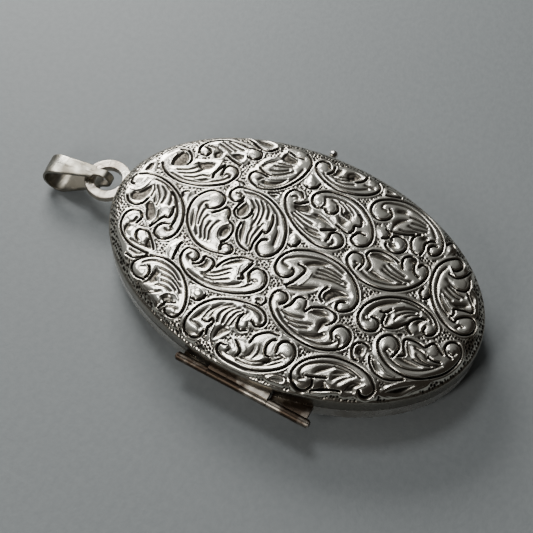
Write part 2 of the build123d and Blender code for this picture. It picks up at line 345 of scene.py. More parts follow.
@dataclass(frozen=True)
class OldPaper:
    """Plain picture card, toned in soft clouds and foxed.

    Args:
        name: Name of the material.
        slot: The record's material slot, not used.
        pale: Colour of the clean card.
        toned: Colour of the aged card.
    """

    name: str = "picture_card"
    slot: str = "card"
    pale: Colour = (0.62, 0.56, 0.45)
    toned: Colour = (0.34, 0.25, 0.15)

    def material(self) -> bpy.types.Material:
        """Builds the material.

        Returns:
            The finished material.
        """
        sheet = ShaderSheet(self.name)
        sheet.set_shader(Roughness=0.85)
        clouds = sheet.spread(sheet.noise(0.12, 4.0), 0.38, 0.70)
        foxing = sheet.spread(sheet.noise(0.9, 3.0), 0.62, 0.74, 0.0, 0.8)
        sheet.colour(sheet.blend(sheet.combine(Join.LARGER, clouds, foxing), self.pale, self.toned))
        sheet.relief(sheet.noise(6.0, 3.0, (1.0, 0.4, 1.0)), 0.015)
        return sheet.material


@dataclass(frozen=True)
class ClearWindow:
    """Thin clear window over a picture, a little dusty and scratched.

    Args:
        name: Name of the material.
        slot: The record's material slot, not used.
        clear: Colour of the clean window.
        dusty: Colour where dust and wear dull it.
    """

    name: str = "picture_window"
    slot: str = "window"
    clear: Colour = (0.96, 0.96, 0.93)
    dusty: Colour = (0.80, 0.78, 0.70)

    def material(self) -> bpy.types.Material:
        """Builds the material.

        Returns:
            The finished material.
        """
        sheet = ShaderSheet(self.name)
        sheet.set_shader(IOR=1.49)
        dust = sheet.spread(sheet.noise(0.35, 5.0), 0.42, 0.75)
        scratches = sheet.spread(sheet.noise(1.6, 2.0, (1.0, 0.04, 1.0), 40.0), 0.62, 0.70)
        sheet.colour(sheet.blend(dust, self.clear, self.dusty))
        dusty_haze = sheet.spread(dust, 0.0, 1.0, 0.03, 0.16)
        haze = sheet.combine(Join.SUM, dusty_haze, sheet.spread(scratches, 0.0, 1.0, 0.0, 0.15))
        sheet.roughness(haze)
        dusty_cover = sheet.spread(dust, 0.0, 1.0, 0.10, 0.26)
        cover = sheet.combine(Join.SUM, dusty_cover, sheet.spread(scratches, 0.0, 1.0, 0.0, 0.08))
        sheet.links.new(cover, sheet.shader.inputs["Alpha"])
        return sheet.material


@dataclass(frozen=True)
class TableTop:
    """Pale matt table top with a faint mottle.

    Args:
        name: Name of the material.
        pale: Colour of the lighter places.
        shade: Colour of the darker places.
    """

    name: str = "table_top"
    pale: Colour = (0.238, 0.257, 0.262)
    shade: Colour = (0.220, 0.238, 0.244)

    def material(self) -> bpy.types.Material:
        """Builds the material.

        Returns:
            The finished material.
        """
        sheet = ShaderSheet(self.name)
        sheet.set_shader(Roughness=0.62, Specular_IOR_Level=0.35)
        mottle = sheet.spread(sheet.noise(1.1, 5.0), 0.35, 0.65)
        sheet.colour(sheet.blend(mottle, self.pale, self.shade))
        sheet.relief(sheet.noise(2.2, 4.0), 0.03)
        return sheet.material


Finish = OldSilver | EngravedSilver | OldPaper | ClearWindow

ENGRAVED = EngravedSilver()
CASE_SILVER = OldSilver("case_silver", Wear.HANDLED, smooth=0.13, dent_depth=0.004)
RING_SILVER = OldSilver(
    "ring_silver",
    Wear.HAMMERED,
    bright=(0.72, 0.68, 0.60),
    tarnish=(0.26, 0.21, 0.16),
    tarnish_share=0.45,
    smooth=0.22,
    dent_depth=0.014,
)
BAIL_SILVER = OldSilver(
    "bail_silver",
    Wear.SCRATCHED,
    bright=(0.37, 0.36, 0.32),
    tarnish=(0.16, 0.145, 0.115),
    tarnish_share=0.6,
    smooth=0.24,
    scratch_depth=0.006,
    dent_depth=0.01,
)
HINGE_SILVER = OldSilver(
    "hinge_silver",
    Wear.TARNISHED,
    bright=(0.46, 0.42, 0.36),
    tarnish=(0.055, 0.040, 0.029),
    tarnish_share=0.8,
    smooth=0.24,
    dent_depth=0.008,
)
BALL_SILVER = OldSilver("ball_silver", Wear.BRIGHT, tarnish_share=0.2, smooth=0.12)
FITTING_SILVER = OldSilver(
    "fitting_silver", Wear.INSIDE, tarnish=(0.30, 0.22, 0.13), tarnish_share=0.5, smooth=0.2
)
PIN_METAL = OldSilver(
    "pin_metal", Wear.TARNISHED, "pin", (0.45, 0.42, 0.38), (0.10, 0.07, 0.05), 0.6, 0.3, 0.55
)
SPRING_METAL = OldSilver(
    "spring_metal", Wear.HANDLED, "spring", (0.50, 0.49, 0.47), (0.20, 0.16, 0.12), 0.35, 0.22, 0.45
)


# ---------------------------------------------------------------- meshes


MADE: dict[str, bpy.types.Material] = {}


def dress(piece: bpy.types.Object, finish: Finish) -> bpy.types.Object:
    """Gives a piece one finish.

    Args:
        piece: The mesh object.
        finish: Any of the finishes above.

    Returns:
        The same object.
    """
    if finish.name not in MADE:
        MADE[finish.name] = finish.material()
    piece.data.materials.clear()
    piece.data.materials.append(MADE[finish.name])
    return piece


def make_piece(
    name: str, points: np.ndarray, faces: np.ndarray | list, body: str, finish: Finish, crease: float = 40.0
) -> bpy.types.Object:
    """Makes a mesh object from points in millimetres and lets it ride on a body.

    Args:
        name: Name of the piece.
        points: Points, one row each, in millimetres.
        faces: Faces as rows of point numbers.
        body: The body it moves with.
        finish: Its finish.
        crease: Edges that turn by more than this many degrees stay sharp.

    Returns:
        The new object.
    """
    mesh = bpy.data.meshes.new(name)
    rows = faces.tolist() if isinstance(faces, np.ndarray) else faces
    mesh.from_pydata((np.asarray(points) * MM).tolist(), [], rows)
    mesh.polygons.foreach_set("use_smooth", [True] * len(mesh.polygons))
    mesh.set_sharp_from_angle(angle=math.radians(crease))
    piece = bpy.data.objects.new(name, mesh)
    bpy.context.scene.collection.objects.link(piece)
    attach(piece, body)
    dress(piece, finish)
    LOG.info("%s on %s, %d faces", name, body, len(mesh.polygons))
    return piece


def ring_faces(rings: int, around: int, closed: bool = True) -> np.ndarray:
    """Four-sided faces between rings of points that follow each other.

    Args:
        rings: Number of rings.
        around: Points in each ring.
        closed: Whether the last point of a ring joins its first.

    Returns:
        Faces as rows of four point numbers.
    """
    here = np.arange(around if closed else around - 1)
    after = (here + 1) % around
    start = np.arange(rings - 1)[:, None] * around
    corners = [start + here, start + after, start + around + after, start + around + here]
    quads = np.stack(corners, -1)
    return quads.reshape(-1, 4)


def ease(value: np.ndarray, low: float, high: float) -> np.ndarray:
    """A smooth step from 0 at low to 1 at high."""
    share = np.clip((value - low) / (high - low), 0.0, 1.0)
    return share * share * (3.0 - 2.0 * share)


def bell(distance: np.ndarray, width: float) -> np.ndarray:
    """A smooth bell: 1 at no distance and nearly 0 beyond twice the width."""
    return np.exp(-((distance / width) ** 2))


# ---------------------------------------------------------------- engraving


@dataclass(frozen=True)
class Scroll:
    """One acanthus scroll or filler leaf, drawn on the flat of the cover.

    Every line is a string of "x,y" points in millimetres from the middle of the cover.

    Args:
        name: What an engraver would call this motif.
        body: Closed outline of the smooth area that stands above the stippled ground.
        grooves: Deep lines cut round the scroll and its curls.
        veins: Fine lines cut between the lobes of the leaf.
        hollows: Closed outlines of the deep scooped places.
        bosses: Round swellings, each "x,y,radius".
        ridges: Fine raised lines that catch the light.
    """

    name: str
    body: str
    grooves: tuple[str, ...] = ()
    veins: tuple[str, ...] = ()
    hollows: tuple[str, ...] = ()
    bosses: tuple[str, ...] = ()
    ridges: tuple[str, ...] = ()


SCROLLS: tuple[Scroll, ...] = (
    Scroll(
        name="crescent scroll under the ring, hinge side",
        body=(
            "-11.4,19.8 -10.2,21 -9,22.4 -7.4,23.5 -5.6,23.6 -4.5,22.8 -4.4,21.6 -5.2,20.8 -6.6,20.7 "
            "-6.5,19 -7.2,18 -8.7,16.4 -9.5,16.4 -10.3,17 -11.3,18.2"
        ),
        grooves=(
            "-9.7,17.2 -9.7,19.5 -9.3,20.8 -8.6,22 -7.5,23 -6,23.3 -5,23 -4.5,22.2 -4.6,21.4 -5.3,20.9 "
            "-6.3,21.1", "-8.6,19.4 -8.2,20 -7.3,20.3 -6.8,19.8 -6.8,18.8 -7.5,18 -8.3,17.2 -8.8,16.8",
            "-11.1,19.8 -11.2,18.7 -10.7,17.8 -10,17",
        ),
        veins=(
            "-8.9,20.4 -9,18.8 -8.8,17.6", "-6.7,21.9 -6.3,21.5 -5.6,21.5",
            "-10.3,19.6 -10.4,18.4 -9.9,17.6",
        ),
        hollows=(
            "-8.6,21.1 -7.9,21.6 -7.1,21.5 -6.8,22 -7.4,22.3 -8.2,22",
            "-8.9,17 -8.9,18 -8.2,18.3 -7.5,18.1",
        ),
        bosses=("-5.6,22.2,0.8", "-7.8,19.1,0.85"),
        ridges=("-8.9,19 -8.3,19.6 -7.5,19.7 -7.1,19.3",),
    ),
    Scroll(
        name="crown scroll under the ring",
        body=(
            "1.9,24.5 2,22.8 1.9,21 1.2,19 -0.8,16.7 -3.2,15.4 -5.2,15.1 -6.7,15.9 -7.1,17.2 -6.4,18.3 "
            "-5.4,18.5 -6.1,19.2 -5.4,20.1 -4,21.4 -3.9,22.6 -4,24.2 -2.8,25.2 -0.8,25.4 0.4,26.1 "
            "1.3,25.4"
        ),
        grooves=(
            "0.9,25.2 1.5,24.2 1.75,23 1.7,21.5 1.2,19.8 0.2,18 -1.2,16.6 -3,15.7 -4.7,15.4 -6,15.7 "
            "-6.8,16.5 -6.9,17.4 -6.4,18.2 -5.4,18.3 -4.6,17.8 -4.3,17.1",
            "-4.6,16.6 -3.4,16.7 -2.2,17.1 -1.2,17.8 -0.2,18.7 0.4,19.6",
            "-3.6,18.1 -3.5,17.7 -2.8,17.6 -1.6,17.9", "-5.9,19.2 -5.2,18.9 -4.2,18.6 -3.5,18.2",
            "-3,24.8 -3.8,24 -3.8,22.9 -3.1,22.1 -2,21.9", "-1,25 -0.9,25.5 -0.1,25.8 0.6,25.6",
        ),
        veins=(
            "0.2,22.4 -0.5,21.9 -1.6,21.7", "0.4,21.9 -0.4,21.2 -1.2,20.6 -2.6,20.3",
            "0.6,21.2 0,20.3 -0.8,19.9 -1.9,19.8", "0.8,20.6 0.3,19.6 -0.6,19 -1.6,18.7",
            "1.2,22.6 1.1,21 0.4,19.2 -0.8,17.9", "-4.6,16.6 -5,16.3 -5.4,16.7 -5.2,17.2",
            "-3.2,19.5 -4.2,19.1 -5.3,19.2",
        ),
        hollows=(
            "-5.3,19.8 -4.4,19.4 -3.2,20 -2.3,20.9 -2.7,21.7 -3.8,21.2 -4.9,20.5",
            "-3.3,23.6 -2.8,24.4 -2,24.3 -1.5,23.5 -0.3,22.9 0.2,22.5 -0.9,22.2 -2.2,22.3 -3,22.8",
            "-2.6,20.8 -1.6,21.2 -0.5,21.6 -1.3,20.9 -2.1,20.5",
        ),
        bosses=("-5.7,17.1,0.95", "-0.1,24.8,0.75", "-2.6,18.7,0.8"),
        ridges=("-1.9,24.9 -1.6,24.1 -0.8,23.5 0.6,23.2", "-1,24.7 -0.6,24.2 0.2,24 0.9,24"),
    ),
    Scroll(
        name="tall scroll under the ring, catch side",
        body=(
            "4.6,24 3.2,23 2.4,21.4 2.2,19.8 2.6,17.6 3.4,15.9 4.6,14.1 6.2,13 7.8,12.9 8.6,13.8 8.6,15 "
            "8.2,15.8 8.6,16.3 7.9,17.4 7.4,18.8 6.9,20 7.9,20.8 8,22.2 7.2,23.2 5.9,24"
        ),
        grooves=(
            "4.2,23.5 3.3,22.8 2.7,21.5 2.5,20 2.8,18.2 3.4,16.4 4.4,14.8 5.4,13.7 6.6,13.2 7.6,13.1 "
            "8.3,13.6 8.5,14.4 8.2,15 7.4,15.2 6.3,15", "5.3,15.9 6.2,16 7.4,15.7 8.2,15.5",
            "7.5,22.4 7.8,21.4 7.2,20.5 6.5,20.1 5.5,20.2",
        ),
        veins=(
            "3.2,21.4 3.1,19.2 3.7,17.2 4.6,15.7 5.7,14.4 6.6,13.9", "4.2,20.9 4.8,19.7 5.6,18.9 6.3,18.5",
            "3.8,20.4 4.4,19.1 5.2,18.2 6,17.8", "3.6,19.4 4.1,18.2 5,17.3 5.3,16.4",
            "6.3,14.7 6.8,14.5 6.9,14 6.4,13.8",
        ),
        hollows=(
            "6.6,19.2 7,18.5 7.8,17.2 7.5,16.7 6.6,16.9 6,17.6 5.8,18.2 6.2,18.8",
            "4.4,22 5.2,22.4 6.4,22.3 7.4,21.9 7.3,21 6.6,20.5 5.6,20.4 4.9,20.9",
            "3.9,17.9 4.4,17.2 4.9,16.4 4.6,16.1 4,16.8",
        ),
        bosses=("5.9,22.9,0.75", "7.4,14.2,0.85"),
        ridges=(
            "4.4,21.7 5,20.5 6,19.6 6.7,19.2", "5.4,16.6 6.4,16.3 7.6,16.2 8.5,16.2",
            "4.6,22.4 5.4,22.6 6.4,22.5",
        ),
    ),
    Scroll(
        name="rim scroll above the catch",
        body=(
            "8,20.1 9.2,20.5 10.8,19.9 12.1,18.5 12.9,16.7 13.1,14.8 13,13.2 12.9,12.2 12,11.6 11,12 "
            "10.7,13 9.8,13.1 9.2,13.6 9.2,15 9.6,16.4 8.9,16.5 8.3,17.5 8.8,18.2 8,18.8"
        ),
        grooves=(
            "8.2,19.9 9.2,20.2 10.4,19.8 11.5,18.8 12.3,17.4 12.6,15.8 12.6,14.2 12.9,13.1 12.8,12.2 "
            "12.2,11.8 11.5,11.9 11,12.6 11.1,13.5", "8.2,19.5 8.3,18.7 9,18.4 9.5,18.9 9.6,19.6",
            "9.2,13.6 9.3,14.8 9.7,16.2",
        ),
        veins=(
            "11.1,17.9 10.9,16.9 10.6,15.9", "11.6,17.7 11.3,16.5 11.1,15.4", "12,16.9 11.8,15.8 11.8,14.5",
            "10,19.2 10.2,18 9.9,17",
        ),
        hollows=(
            "8.5,17.4 9.2,17.9 9.9,17.5 9.8,16.8 9,16.7", "10.2,15.6 10.9,14.8 11,14 10.3,13.9 9.9,14.6",
        ),
        bosses=("11.9,12.9,0.8", "8.9,19.3,0.65"),
        ridges=("10.1,16.4 9.8,15.4 9.6,14.3 9.6,13.5", "10.4,19 10.5,18.1"),
    ),
    Scroll(
        name="shoulder leaf above the catch",
        body="14.3,15.4 13.6,13.6 13.1,12.4 13.4,11 14.6,10.2 15.6,10.8 15.6,12.4 15,14.2",
        grooves=("14.2,15.2 13.7,13.8 13.3,12.6 13.6,11.2 14.6,10.4",),
        hollows=("14.1,13.2 14.8,13.8 15.4,12.5 15,11.2 14.3,11.6",),
    ),
    Scroll(
        name="upper hinge-side scroll",
        body=(
            "-13.6,15.8 -13.7,17.2 -12.4,18.3 -11,17.9 -9.6,16.7 -9,15 -9.2,13 -10,11.2 -11.8,9.4 -14,8.3 "
            "-15.7,8.2 -16.5,9.3 -16.2,10.8 -16,12 -15.3,12.9 -14.7,14 -14.2,15.2"
        ),
        grooves=(
            "-13.3,15.7 -13.4,16.6 -13,17.6 -12.2,18.1 -11.3,17.9 -10.4,17.2 -9.7,16.3 -9.3,15.2 -9.3,14 "
            "-9.6,12.7 -10.2,11.4 -11.2,10.2 -12.6,9.2 -14,8.6 -15.3,8.5 -16.1,9 -16.3,9.8 -16.1,10.5 "
            "-15.6,10.8", "-13.4,15.6 -12.6,15.3 -11.8,15.5 -11.2,16",
            "-15.9,11.7 -15.2,11.2 -14.7,11 -14.3,10",
        ),
        veins=(
            "-11.2,16.9 -10.5,16.2 -10.1,15.2 -10,13.8 -10.4,12.4 -11.2,11.2",
            "-10.9,14.4 -10.8,13 -11.2,11.8 -12,10.5", "-11.6,13.7 -11.5,12.4 -12,11.1 -12.8,10.1",
            "-12.3,13.3 -12.2,12 -12.7,10.8", "-13.2,13.6 -12.9,12.4 -13.1,11.3",
            "-15,9.3 -15,9.9 -15.3,10.5", "-14.9,14.6 -14.4,13.4 -13.8,12.6",
        ),
        hollows=(
            "-14,15.3 -13.3,14.2 -12.7,13.7 -12.2,14.1 -11.4,14.1 -11,14.9 -11.8,14.9 -12.8,15 -13.6,15.2",
            "-12,17 -11.6,16.8 -11.3,16.2 -11.7,16.3", "-14.4,12 -13.7,11.3 -13.8,10.5 -14.4,10.4 -15,11.2",
        ),
        bosses=("-12.4,16.8,0.9", "-15.6,9.8,0.55", "-15,12.3,0.5"),
        ridges=("-14.4,12.3 -13.6,11.7 -13.3,10.6 -13.7,9.8", "-13.9,15 -13.2,14.7 -12.7,15 -11.9,15.1"),
    ),
    Scroll(
        name="upper centre scroll",
        body=(
            "-5.5,10.6 -5.2,12.6 -4.2,14.1 -2.4,15.7 -0.3,16.4 1.6,16.3 3.2,15.4 3.9,13.9 3.4,12.5 "
            "2.5,12.1 2.2,11.3 1,10.5 0.2,10.2 -0.1,9.2 -1.2,8.6 -2.6,8.7 -3,7.9 -3.8,7.1 -4.8,7.5 "
            "-5.1,8.8"
        ),
        grooves=(
            "-4.5,8.9 -3.8,9.1 -3.2,8.6 -3.2,7.8 -3.9,7.3 -4.6,7.7 -4.9,8.5 -5.2,9.6 -5.3,11 -5.1,12.2 "
            "-4.5,13.3 -3.5,14.5 -2.2,15.5 -0.6,16.1 1,16.2 2.4,15.7 3.4,14.8 3.7,13.8 3.4,12.8 2.6,12.3 "
            "1.6,12.4 0.9,13 0.6,13.8 0.9,14.3", "-3.4,9.3 -2.4,8.85 -1.2,8.85 -0.3,9.3 0.1,10",
            "0.2,12.8 1,12.1 2,11.4 1.3,10.7 0.4,10.4",
        ),
        veins=(
            "-3.9,12.9 -3,13.7 -1.6,14.4 0,14.8 1,14.8 1.5,14.4", "-2.4,13.6 -1.2,13.9 0.1,14 0.6,13.6",
            "-4.1,12.1 -3,12.8 -1.5,13.3 -0.5,13.1", "-4,11.6 -2.6,12.3 -1.2,12.3",
            "-3.9,11.1 -2.6,11.6 -1.4,11.6 -0.6,11.3",
        ),
        hollows=(
            "-2.6,10.1 -1.6,10.4 -0.7,9.9 -0.8,9.4 -1.5,9.2 -2.4,9.4",
            "-3.4,14.1 -2,14.9 -0.6,15.2 -1.2,14.8 -2.6,14.1",
        ),
        bosses=("2.2,13.5,1", "-4,8.2,0.6", "1,11.4,0.6"),
        ridges=("-3.5,9.5 -3.1,10.3 -2.2,10.7 -1.2,10.7 -0.3,10",),
    ),
    Scroll(
        name="hinge-side S scroll",
        body=(
            "-10.5,8 -10.3,6 -9.6,4 -8.7,2.2 -7.5,0.9 -6,0.7 -4.6,1.3 -4.2,2.6 -4.5,3.5 -3.6,3.8 -3.7,5.2 "
            "-4.5,6.8 -5.8,7.9 -6.6,8.2 -6,8.8 -6,10.2 -6.3,10.9 -5.9,11.9 -6.3,13 -7.6,13.3 -9,12.6 "
            "-10,11.2"
        ),
        grooves=(
            "-7.7,11.3 -7.5,10.9 -6.9,10.8 -6.3,11.2 -6.1,11.9 -6.3,12.8 -7.2,13.1 -8.2,12.9 -9,12.2 "
            "-9.8,11 -10.2,9.6 -10.3,8 -10.1,6.4 -9.7,4.9 -9.1,3.4 -8.3,2.1 -7.3,1.2 -6.2,0.9 -5.1,1.3 "
            "-4.5,2.1 -4.5,2.9 -5.2,3.5 -6,3.5 -6.8,3",
            "-8.1,10.9 -7.6,10.2 -7,10 -6.4,10.1 -6.2,9.4 -6.5,8.6 -7.2,8.3 -8,8.5",
            "-7,7.9 -6,7.6 -5,6.9 -4.2,5.9 -3.8,4.9 -3.8,4.1",
            "-7.1,4.4 -6.8,3.9 -6.3,4.4 -5.4,4.2 -4.2,3.9",
        ),
        veins=(
            "-8.8,9 -8.6,7.8 -7.9,6.8 -7,6", "-8.4,8.6 -7.9,7.6 -7.1,6.8 -6.3,6.1",
            "-9.1,8.4 -8.9,7.2 -8.3,6.2 -7.9,5.6",
            "-9.3,11 -9.6,9.4 -9.6,8 -9.4,6.4 -8.7,4.6 -7.9,3.2 -7,2.5", "-6.9,3 -6.5,2.7 -6.4,2.2",
            "-7.8,11.6 -7.4,12.2 -6.8,12",
        ),
        hollows=(
            "-9.4,7 -9,6.6 -8.5,5.4 -7.7,4.2 -7.3,3.7 -8,3.9 -8.8,4.9 -9.3,6",
            "-8.3,10.5 -7.7,10 -6.9,9.8 -6.6,9.4 -7.2,9.1 -8,9.2",
            "-6.3,7.2 -5.2,6.6 -4.4,5.8 -4.2,5 -4.8,5.3 -5.4,6 -6,6.6",
        ),
        bosses=("-5.7,2.2,0.95", "-7.1,11.8,0.6"),
        ridges=("-8.7,10.6 -8.6,9.6 -8,8.8 -7,8.8", "-6.6,5 -5.6,5.3 -4.8,5.1 -4.5,4.5"),
    ),
    Scroll(
        name="great centre scroll",
        body=(
            "3.1,11.8 3.8,12.6 5.2,12.5 6.2,11.4 6.6,9.6 6.5,7.6 5.8,5.6 4.7,3.9 3.3,2.6 1.4,1.8 -0.6,1.5 "
            "-2.2,2.3 -2.9,3.7 -2.4,4.8 -2.9,5.5 -2.9,6.9 -1.9,8.2 -0.4,8.8 1,8.9 1,10 1.7,10.6 3,10.6"
        ),
        grooves=(
            "4.7,10.4 3.9,10.4 3.4,11 3.5,11.9 4.4,12.4 5.4,12.1 6,11.2 6.3,9.8 6.3,8.3 6,6.8 5.4,5.4 "
            "4.4,3.9 3.2,2.9 1.8,2.2 0.2,1.8 -1.2,2 -2.2,2.7 -2.6,3.7 -2.2,4.5 -1.3,4.9 -0.4,4.7 0.1,4.1",
            "3.9,10.1 3,10.35 2,10.4 1.3,9.8 1.2,9.1 1.7,8.4 2.6,8.1 3.4,8.2",
            "-2.8,5.6 -2.6,6.8 -1.8,7.8 -0.6,8.4 0.8,8.6",
            "-2.6,5.3 -1.4,5.5 0,5.4 1,5.3 0.8,4.8 1.6,4.6 2.8,4.8 3.9,5.3",
        ),
        veins=(
            "4.9,8.6 4.2,7.7 2.8,7.1 1,7", "5.1,7.8 4.2,6.9 2.9,6.5 1.6,6.4", "5,6.9 4.2,6.1 3,5.7",
            "4.6,9.1 3.6,8 2.2,7.6", "-1.8,6.2 -0.6,6.7 0.8,6.8", "-2,5.8 -0.8,6.1 0.8,6 2,5.9",
            "5.4,10.6 5.8,9 5.6,7.6 5.1,6.2 4.1,4.8 2.8,3.9", "4.7,11.5 4.9,10.9 4.5,10.7",
        ),
        hollows=(
            "1.5,9.8 2.2,10.2 3.4,9.9 4,9.6 3.6,9 2.8,8.7 2,8.8 1.5,9.2",
            "-0.4,3.1 0.6,3.4 1.8,3.6 2.8,4.1 1.9,3.2 0.6,2.8 -0.2,2.7",
            "-2.2,6.9 -1.2,7.9 0.4,8.4 1.2,8.2 0.2,7.6 -1,7.2",
        ),
        bosses=("-1.3,3.5,1", "4.5,11.3,0.7", "2.4,5.3,0.8"),
        ridges=("1.3,9 2,8.5 3,8.5 3.9,9.1",),
    ),
    Scroll(
        name="catch-side shell scroll",
        body=(
            "7.6,11.6 8.8,11.9 9.7,11.6 10.2,11.4 11.8,11.1 13,10.1 13.4,9.5 14.9,9.3 15.6,8.6 16.1,7.4 "
            "15.9,6 15,5.1 13.4,4.6 11.4,4.8 9.4,5.7 7.8,7 6.9,8.8 6.8,10.4"
        ),
        grooves=(
            "9.3,9.2 9.5,10.3 9.3,11.2 8.6,11.6 7.7,11.3 7.2,10.4 7.1,9.3 7.5,8 8.2,7 9.2,6.1 10.4,5.5 "
            "11.8,5 13.2,4.8 14.4,4.9 15.2,5.4 15.8,6.2", "9.8,9 9.9,10.4 10.4,11.1",
            "14.9,8.8 14.6,7.6 14.8,6.4",
        ),
        veins=(
            "9.8,9.2 10.3,8.2 11.2,7.2 12,6.5", "10.6,9.4 11.1,8.2 11.9,7.2", "11.6,9.3 12,8.2 12.6,7",
            "12.4,9 12.6,8 12.9,6.9", "7.5,9.6 7.7,8.5 8.4,7.4 9.6,6.5 11.2,5.8 13,5.5",
            "8.3,10.1 8.8,9.7 8.9,9.2",
        ),
        hollows=(
            "8,9.5 8.6,9.5 8.8,8.5 9.5,7.3 10.2,6.6 9.4,6.8 8.5,7.6 8,8.6",
            "10.3,10.9 11.2,10.7 12.2,10 12.9,9.1 12.4,9.3 11.4,10.2 10.6,10.5",
            "13.1,9 13.9,9.2 14.6,8.9 14.4,8 14.2,7 13.6,6.8 13.1,7.5",
        ),
        bosses=("8.5,10.6,0.75", "15.3,7,0.65"),
        ridges=(
            "8.9,9.5 9.2,8.6 9.8,7.5 10.5,6.5", "10.2,11.2 11.6,10.9 12.7,10.1 13.2,9.4",
            "10.6,10.4 11.2,9.4 11.5,8.6",
        ),
    ),
    Scroll(
        name="hinge-side fan scroll",
        body=(
            "-17.6,5.2 -17.5,6.6 -16.6,7.5 -15.2,7.8 -13.2,7.4 -11.4,6.1 -10.2,4.2 -9.5,2.2 -9.3,0 "
            "-9.9,-1.4 -11,-2.1 -12,-1.8 -12.4,-0.8 -12,0 -13.2,-0.5 -14,0.3 -14,1.4 -15.2,1.9 -16.8,2.9 "
            "-16.9,3.6 -15.8,4.2 -16.8,4.4"
        ),
        grooves=(
            "-15.9,4.6 -16.8,4.7 -17.3,5.4 -17.3,6.3 -16.8,7.1 -15.6,7.5 -14,7.3 -12.6,6.7 -11.4,5.7 "
            "-10.6,4.4 -10,3 -9.6,1.4 -9.5,0 -9.9,-1.1 -10.8,-1.8 -11.7,-1.7 -12.1,-0.9 -11.7,-0.2",
            "-16.2,4.1 -15.4,4.3 -14.3,4.1 -13.8,4.5", "-14.6,5.5 -14.5,4.7 -13.9,4.5",
            "-11.2,1.2 -12.2,1.4 -13.2,1.2 -13.6,0.5 -13.2,-0.2",
        ),
        veins=(
            "-15.4,6.8 -15.4,5.9 -15.7,5.2", "-14,3.7 -12.8,3.9 -11.6,3.4 -11,2.8",
            "-13.8,3 -12.6,3.1 -11.5,2.7 -10.9,2", "-13.9,2.5 -12.8,2.4 -11.7,2.1 -11,1.5",
            "-13.6,1.9 -12.6,1.8 -11.6,1.6", "-13.8,4.9 -12.6,4.8 -11.6,4.1 -10.9,3.2",
            "-10.3,1.6 -10.2,0.2 -10.5,-0.8 -11.1,-1.3",
        ),
        hollows=(
            "-15.2,6.7 -14.4,6.6 -13.4,6.2 -12.6,5.7 -13.6,5.8 -14.7,6.1",
            "-14.3,5.7 -13.2,5.6 -12.2,5.1 -11.3,4.2 -12.2,4.6 -13.4,5.2 -14.2,5.3",
            "-16.2,3 -15.4,3.2 -14.6,3.1 -14,2.6 -13.9,1.8 -14.4,1.6 -15,2.1 -15.8,2.5",
            "-12,1.2 -11,1 -10.8,0.7 -11.8,0.8",
        ),
        bosses=("-16.5,6,0.8", "-12.6,0.6,0.6", "-11.3,-0.8,0.55"),
        ridges=("-16.6,3.3 -15.8,3.7 -14.6,3.8",),
    ),
    Scroll(
        name="lower hinge-side scroll",
        body=(
            "-18.2,0.5 -17.5,2.1 -16.2,2 -15.8,1 -16,0.2 -15,0.5 -14.3,-0.6 -14.3,-1.4 -13.2,-1.4 "
            "-12.1,-2.4 -11.5,-4 -11.6,-5.6 -11.6,-6.6 -12.6,-7.5 -14.2,-7.7 -15.8,-7 -17.2,-5.4 -18.1,-3"
        ),
        grooves=(
            "-16.2,1.1 -16.4,1.8 -17.2,1.9 -17.7,1.3 -17.9,0.2 -17.9,-1.2 -17.8,-2.6 -17.4,-4 -16.8,-5.3 "
            "-15.9,-6.5 -14.7,-7.3 -13.5,-7.5 -12.4,-7 -11.9,-6.1 -12.2,-5.3 -13,-4.9 -14,-5.1",
            "-16.9,-0.9 -16.2,-1 -15.6,-0.5 -15,0.3",
            "-14.4,-1.5 -13.4,-1.6 -12.6,-2.2 -11.9,-3.2 -11.7,-4.3",
            "-14.9,-4.6 -14.9,-4 -14,-3.6 -12.9,-3.8 -12.5,-4.3",
        ),
        veins=(
            "-16.8,-1.7 -16.6,-3 -16,-4.2 -15,-5.6 -14.3,-6.2",
            "-17.3,-1.2 -17.2,-2.6 -16.8,-3.8 -16,-5.2 -14.9,-6.3", "-14.4,-5.4 -14.1,-5.9 -14.2,-6.5",
            "-16.9,0.4 -16.4,0.3 -16.3,0.7",
        ),
        hollows=(
            "-16.6,-1.9 -15.6,-2.2 -14.6,-2.3 -15.2,-2.6 -16.1,-2.5",
            "-16.2,-2.8 -15.2,-3 -14.3,-3 -15,-3.4 -15.8,-3.3",
            "-16.8,-3.5 -16,-4.3 -15,-4.7 -14.9,-5.2 -15.8,-5.1 -16.6,-4.4",
        ),
        bosses=("-17,0.8,0.6", "-13.2,-6.2,0.85", "-15.7,-1.1,0.6"),
        ridges=("-15,-3.6 -14,-3.3 -13,-3.4 -12.5,-3.9",),
    ),
    Scroll(
        name="left centre scroll",
        body=(
            "-8,-0.5 -6.6,-0.3 -5.6,-1.2 -5.7,-2.5 -6.2,-3.1 -5.2,-3.7 -4.9,-4.7 -5.6,-5.4 -4.9,-7 "
            "-4.8,-8.8 -5.6,-9.9 -6.4,-10 -6.1,-11.2 -6.7,-12.4 -8.2,-13 -9.7,-12.4 -10.8,-11.1 -11.4,-9 "
            "-11.4,-6.6 -10.9,-4.2 -9.8,-2"
        ),
        grooves=(
            "-7.7,-2.2 -7.3,-2.6 -6.6,-2.7 -6,-2.2 -5.9,-1.4 -6.4,-0.8 -7.3,-0.7 -8.3,-1 -9.3,-1.9 "
            "-10.1,-3.1 -10.7,-4.6 -11,-6.2 -11.1,-7.9 -10.9,-9.5 -10.3,-11 -9.4,-12.1 -8.3,-12.6 "
            "-7.2,-12.4 -6.5,-11.6 -6.5,-10.7 -7.2,-10.1 -8.1,-10 -8.9,-10.5",
            "-7.8,-3 -7,-3.5 -6,-3.6 -5.4,-4.1 -5.3,-4.7",
            "-7,-5.6 -6.2,-6 -5.6,-6.9 -5.2,-7.9 -5.3,-9 -5.9,-9.6 -6.6,-9.5 -7.4,-8.9",
        ),
        veins=(
